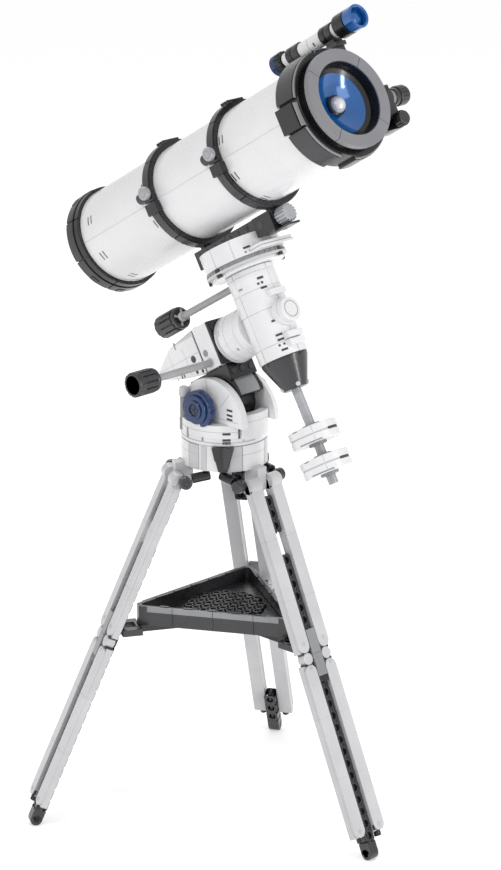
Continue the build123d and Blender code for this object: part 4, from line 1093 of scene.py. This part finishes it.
def make_focuser():
    """The focuser block, its drawtube with the eyepiece, and its knob."""
    part = piece("focuser", "optical_tube", DARK, "focuser_base")
    u0, u1 = FOCUSER_U - 8, FOCUSER_U + 8
    part.box((u0, u1), (35.6, 46), (FOCUSER_W - 15, FOCUSER_W + 6.8), DARK, 0.5)
    part.box((u0 + 1, u1 - 1), (29, 38), (FOCUSER_W - 21.6, FOCUSER_W - 15), BLACK, 0.5)
    part.box((u0 + 1, u1 - 1), (31, 45.6), (FOCUSER_W - 21.6, FOCUSER_W - 14.5), BLACK, 0.5)
    tower = along((FOCUSER_U, 45.5, FOCUSER_W), (FOCUSER_U, 48, FOCUSER_W))
    part.add(pipe(7.6, 5.1, 2.5, 0.4), DARK, tower)
    for shift in (-4, 4):
        part.rod(1.9, (u1 - 0.5, 41 + shift * 0.6, FOCUSER_W + shift), (u1 + 0.05, 41 + shift * 0.6,
                 FOCUSER_W + shift), BLACK, 0.1, 20)
    part.finish()
    draw = piece("drawtube", "focuser_drawtube", DARK, "focuser_drawtube")
    draw.rod(4.9, (FOCUSER_U, 40.6, FOCUSER_W), (FOCUSER_U, 53, FOCUSER_W), MID, 0.3)
    eye = along((FOCUSER_U, 53, FOCUSER_W), (FOCUSER_U, 65, FOCUSER_W))
    draw.add(rod(5.7, 4.0, 0.4), DARK, eye @ up(-0.2))
    draw.add(rod(6.5, 6.8, 0.7), DARK, eye @ up(3.4))
    draw.add(pipe(5.6, 3.8, 2.2, 0.5), BLACK, eye @ up(9.8))
    draw.add(rod(3.9, 0.6, 0.1), "slot", eye @ up(10.0))
    draw.ribs(16, (6.0, 6.5), (-0.6, 0.6), (4.3, 9.4), BLACK, 0.2, eye)
    draw.finish()
    knob = piece("focus_wheel", "focus_knob", DARK, "focus_knob")
    u = FOCUSER_U + 8.3
    wheel = at(u, 42.0, FOCUSER_W - 17.0) @ AXIS_X
    knob.add(rod(4.4, 6.7, 0.6), DARK, wheel)
    knob.add(rod(1.45, 6.0, 0.1, 20), DARK, wheel @ up(-4.2))
    knob.ribs(14, (4.0, 5.0), (-0.6, 0.6), (0.6, 5.4), BLACK, 0.25, wheel)
    knob.finish()


def make_stage():
    """A wide pale floor that glows a little, soft lights and the camera."""
    scene = bpy.context.scene
    world = bpy.data.worlds.new("studio")
    world.use_nodes = True
    world.node_tree.nodes["Background"].inputs["Color"].default_value = (1, 1, 1, 1)
    world.node_tree.nodes["Background"].inputs["Strength"].default_value = 0.72
    scene.world = world
    scene.view_settings.view_transform = "Standard"
    mesh = bpy.data.meshes.new("floor")
    corners = [(x * FLOOR_HALF, y * FLOOR_HALF, 0) for x, y in ((-1, -1), (1, -1), (1, 1), (-1, 1))]
    mesh.from_pydata(corners, [], [(0, 1, 2, 3)])
    floor = bpy.data.objects.new("floor", mesh)
    scene.collection.objects.link(floor)
    paper = plastic("paper", (0.93, 0.93, 0.93), 0.9, 0.0, 0.005, 0.0)
    glow = paper.node_tree.nodes["Principled BSDF"]
    glow.inputs["Emission Color"].default_value = (1, 1, 1, 1)
    glow.inputs["Emission Strength"].default_value = 0.3
    mesh.materials.append(paper)
    middle, mouth = (0, 0, 0.3), (0.0875, 0.011, 0.5)
    lights = (("key", (0.2, -1.3, 1.5), middle, 8.5, 0.6, 0.6),
              ("side", (1.6, 0.4, 1.0), middle, 3.0, 0.7, 0.7),
              ("back", (-1.2, 0.9, 1.3), middle, 4.5, 0.9, 0.9),
              ("strip", (0.84, 0.145, 0.42), mouth, 2.0, 0.1, 0.45))
    for name, spot, aim, power, size, tall in lights:
        data = bpy.data.lights.new(name, "AREA")
        data.shape, data.energy, data.size, data.size_y = "RECTANGLE", power, size, tall
        lamp = bpy.data.objects.new(name, data)
        lamp.location = spot
        lamp.rotation_euler = (Vector(aim) - Vector(spot)).to_track_quat("-Z", "Y").to_euler()
        scene.collection.objects.link(lamp)
    data = bpy.data.cameras.new("camera")
    data.sensor_fit, data.sensor_height, data.lens = "VERTICAL", 36.0, LENS
    camera = bpy.data.objects.new("camera", data)
    forward = Vector((-0.6703, 0.6761, -0.3055))
    turned = forward.to_track_quat("-Z", "Y").to_matrix() @ Matrix.Rotation(math.radians(-0.22), 3, "Z")
    camera.matrix_world = Matrix.Translation((1.5602, -1.5560, 0.9646)) @ turned.to_4x4()
    scene.collection.objects.link(camera)
    scene.camera = camera


def build():
    """Makes every piece."""
    make_stage()
    for name, angle in LEG_ANGLES.items():
        make_leg_rails(name, angle)
        make_leg_beam(name, angle)
    make_leg_fittings()
    make_hub()
    make_tray()
    make_azimuth_head()
    make_latitude_block()
    make_polar_housing()
    worm_u, worm_w = 16.4, POLAR_W - 8.8
    make_slow_motion("polar", "polar_slow_motion", (worm_u, 5, worm_w), (worm_u, -66, worm_w),
                     (worm_u, -84, worm_w), 8.0)
    dec_w = POLAR_W + 27.3
    make_slow_motion("dec", "dec_slow_motion", (DEC_U + 3, -9, dec_w), (DEC_U - 64.5, -9, dec_w),
                     (DEC_U - 84.5, -9, dec_w), 7.7)
    make_polar_axis()
    make_weight("upper", POLAR_W - 77.7)
    make_weight("lower", POLAR_W - 97.8)
    make_dec_head()
    make_rings()
    make_tube()
    make_cap()
    make_mouth()
    make_finder()
    make_focuser()


build()
bpy.context.view_layer.update()
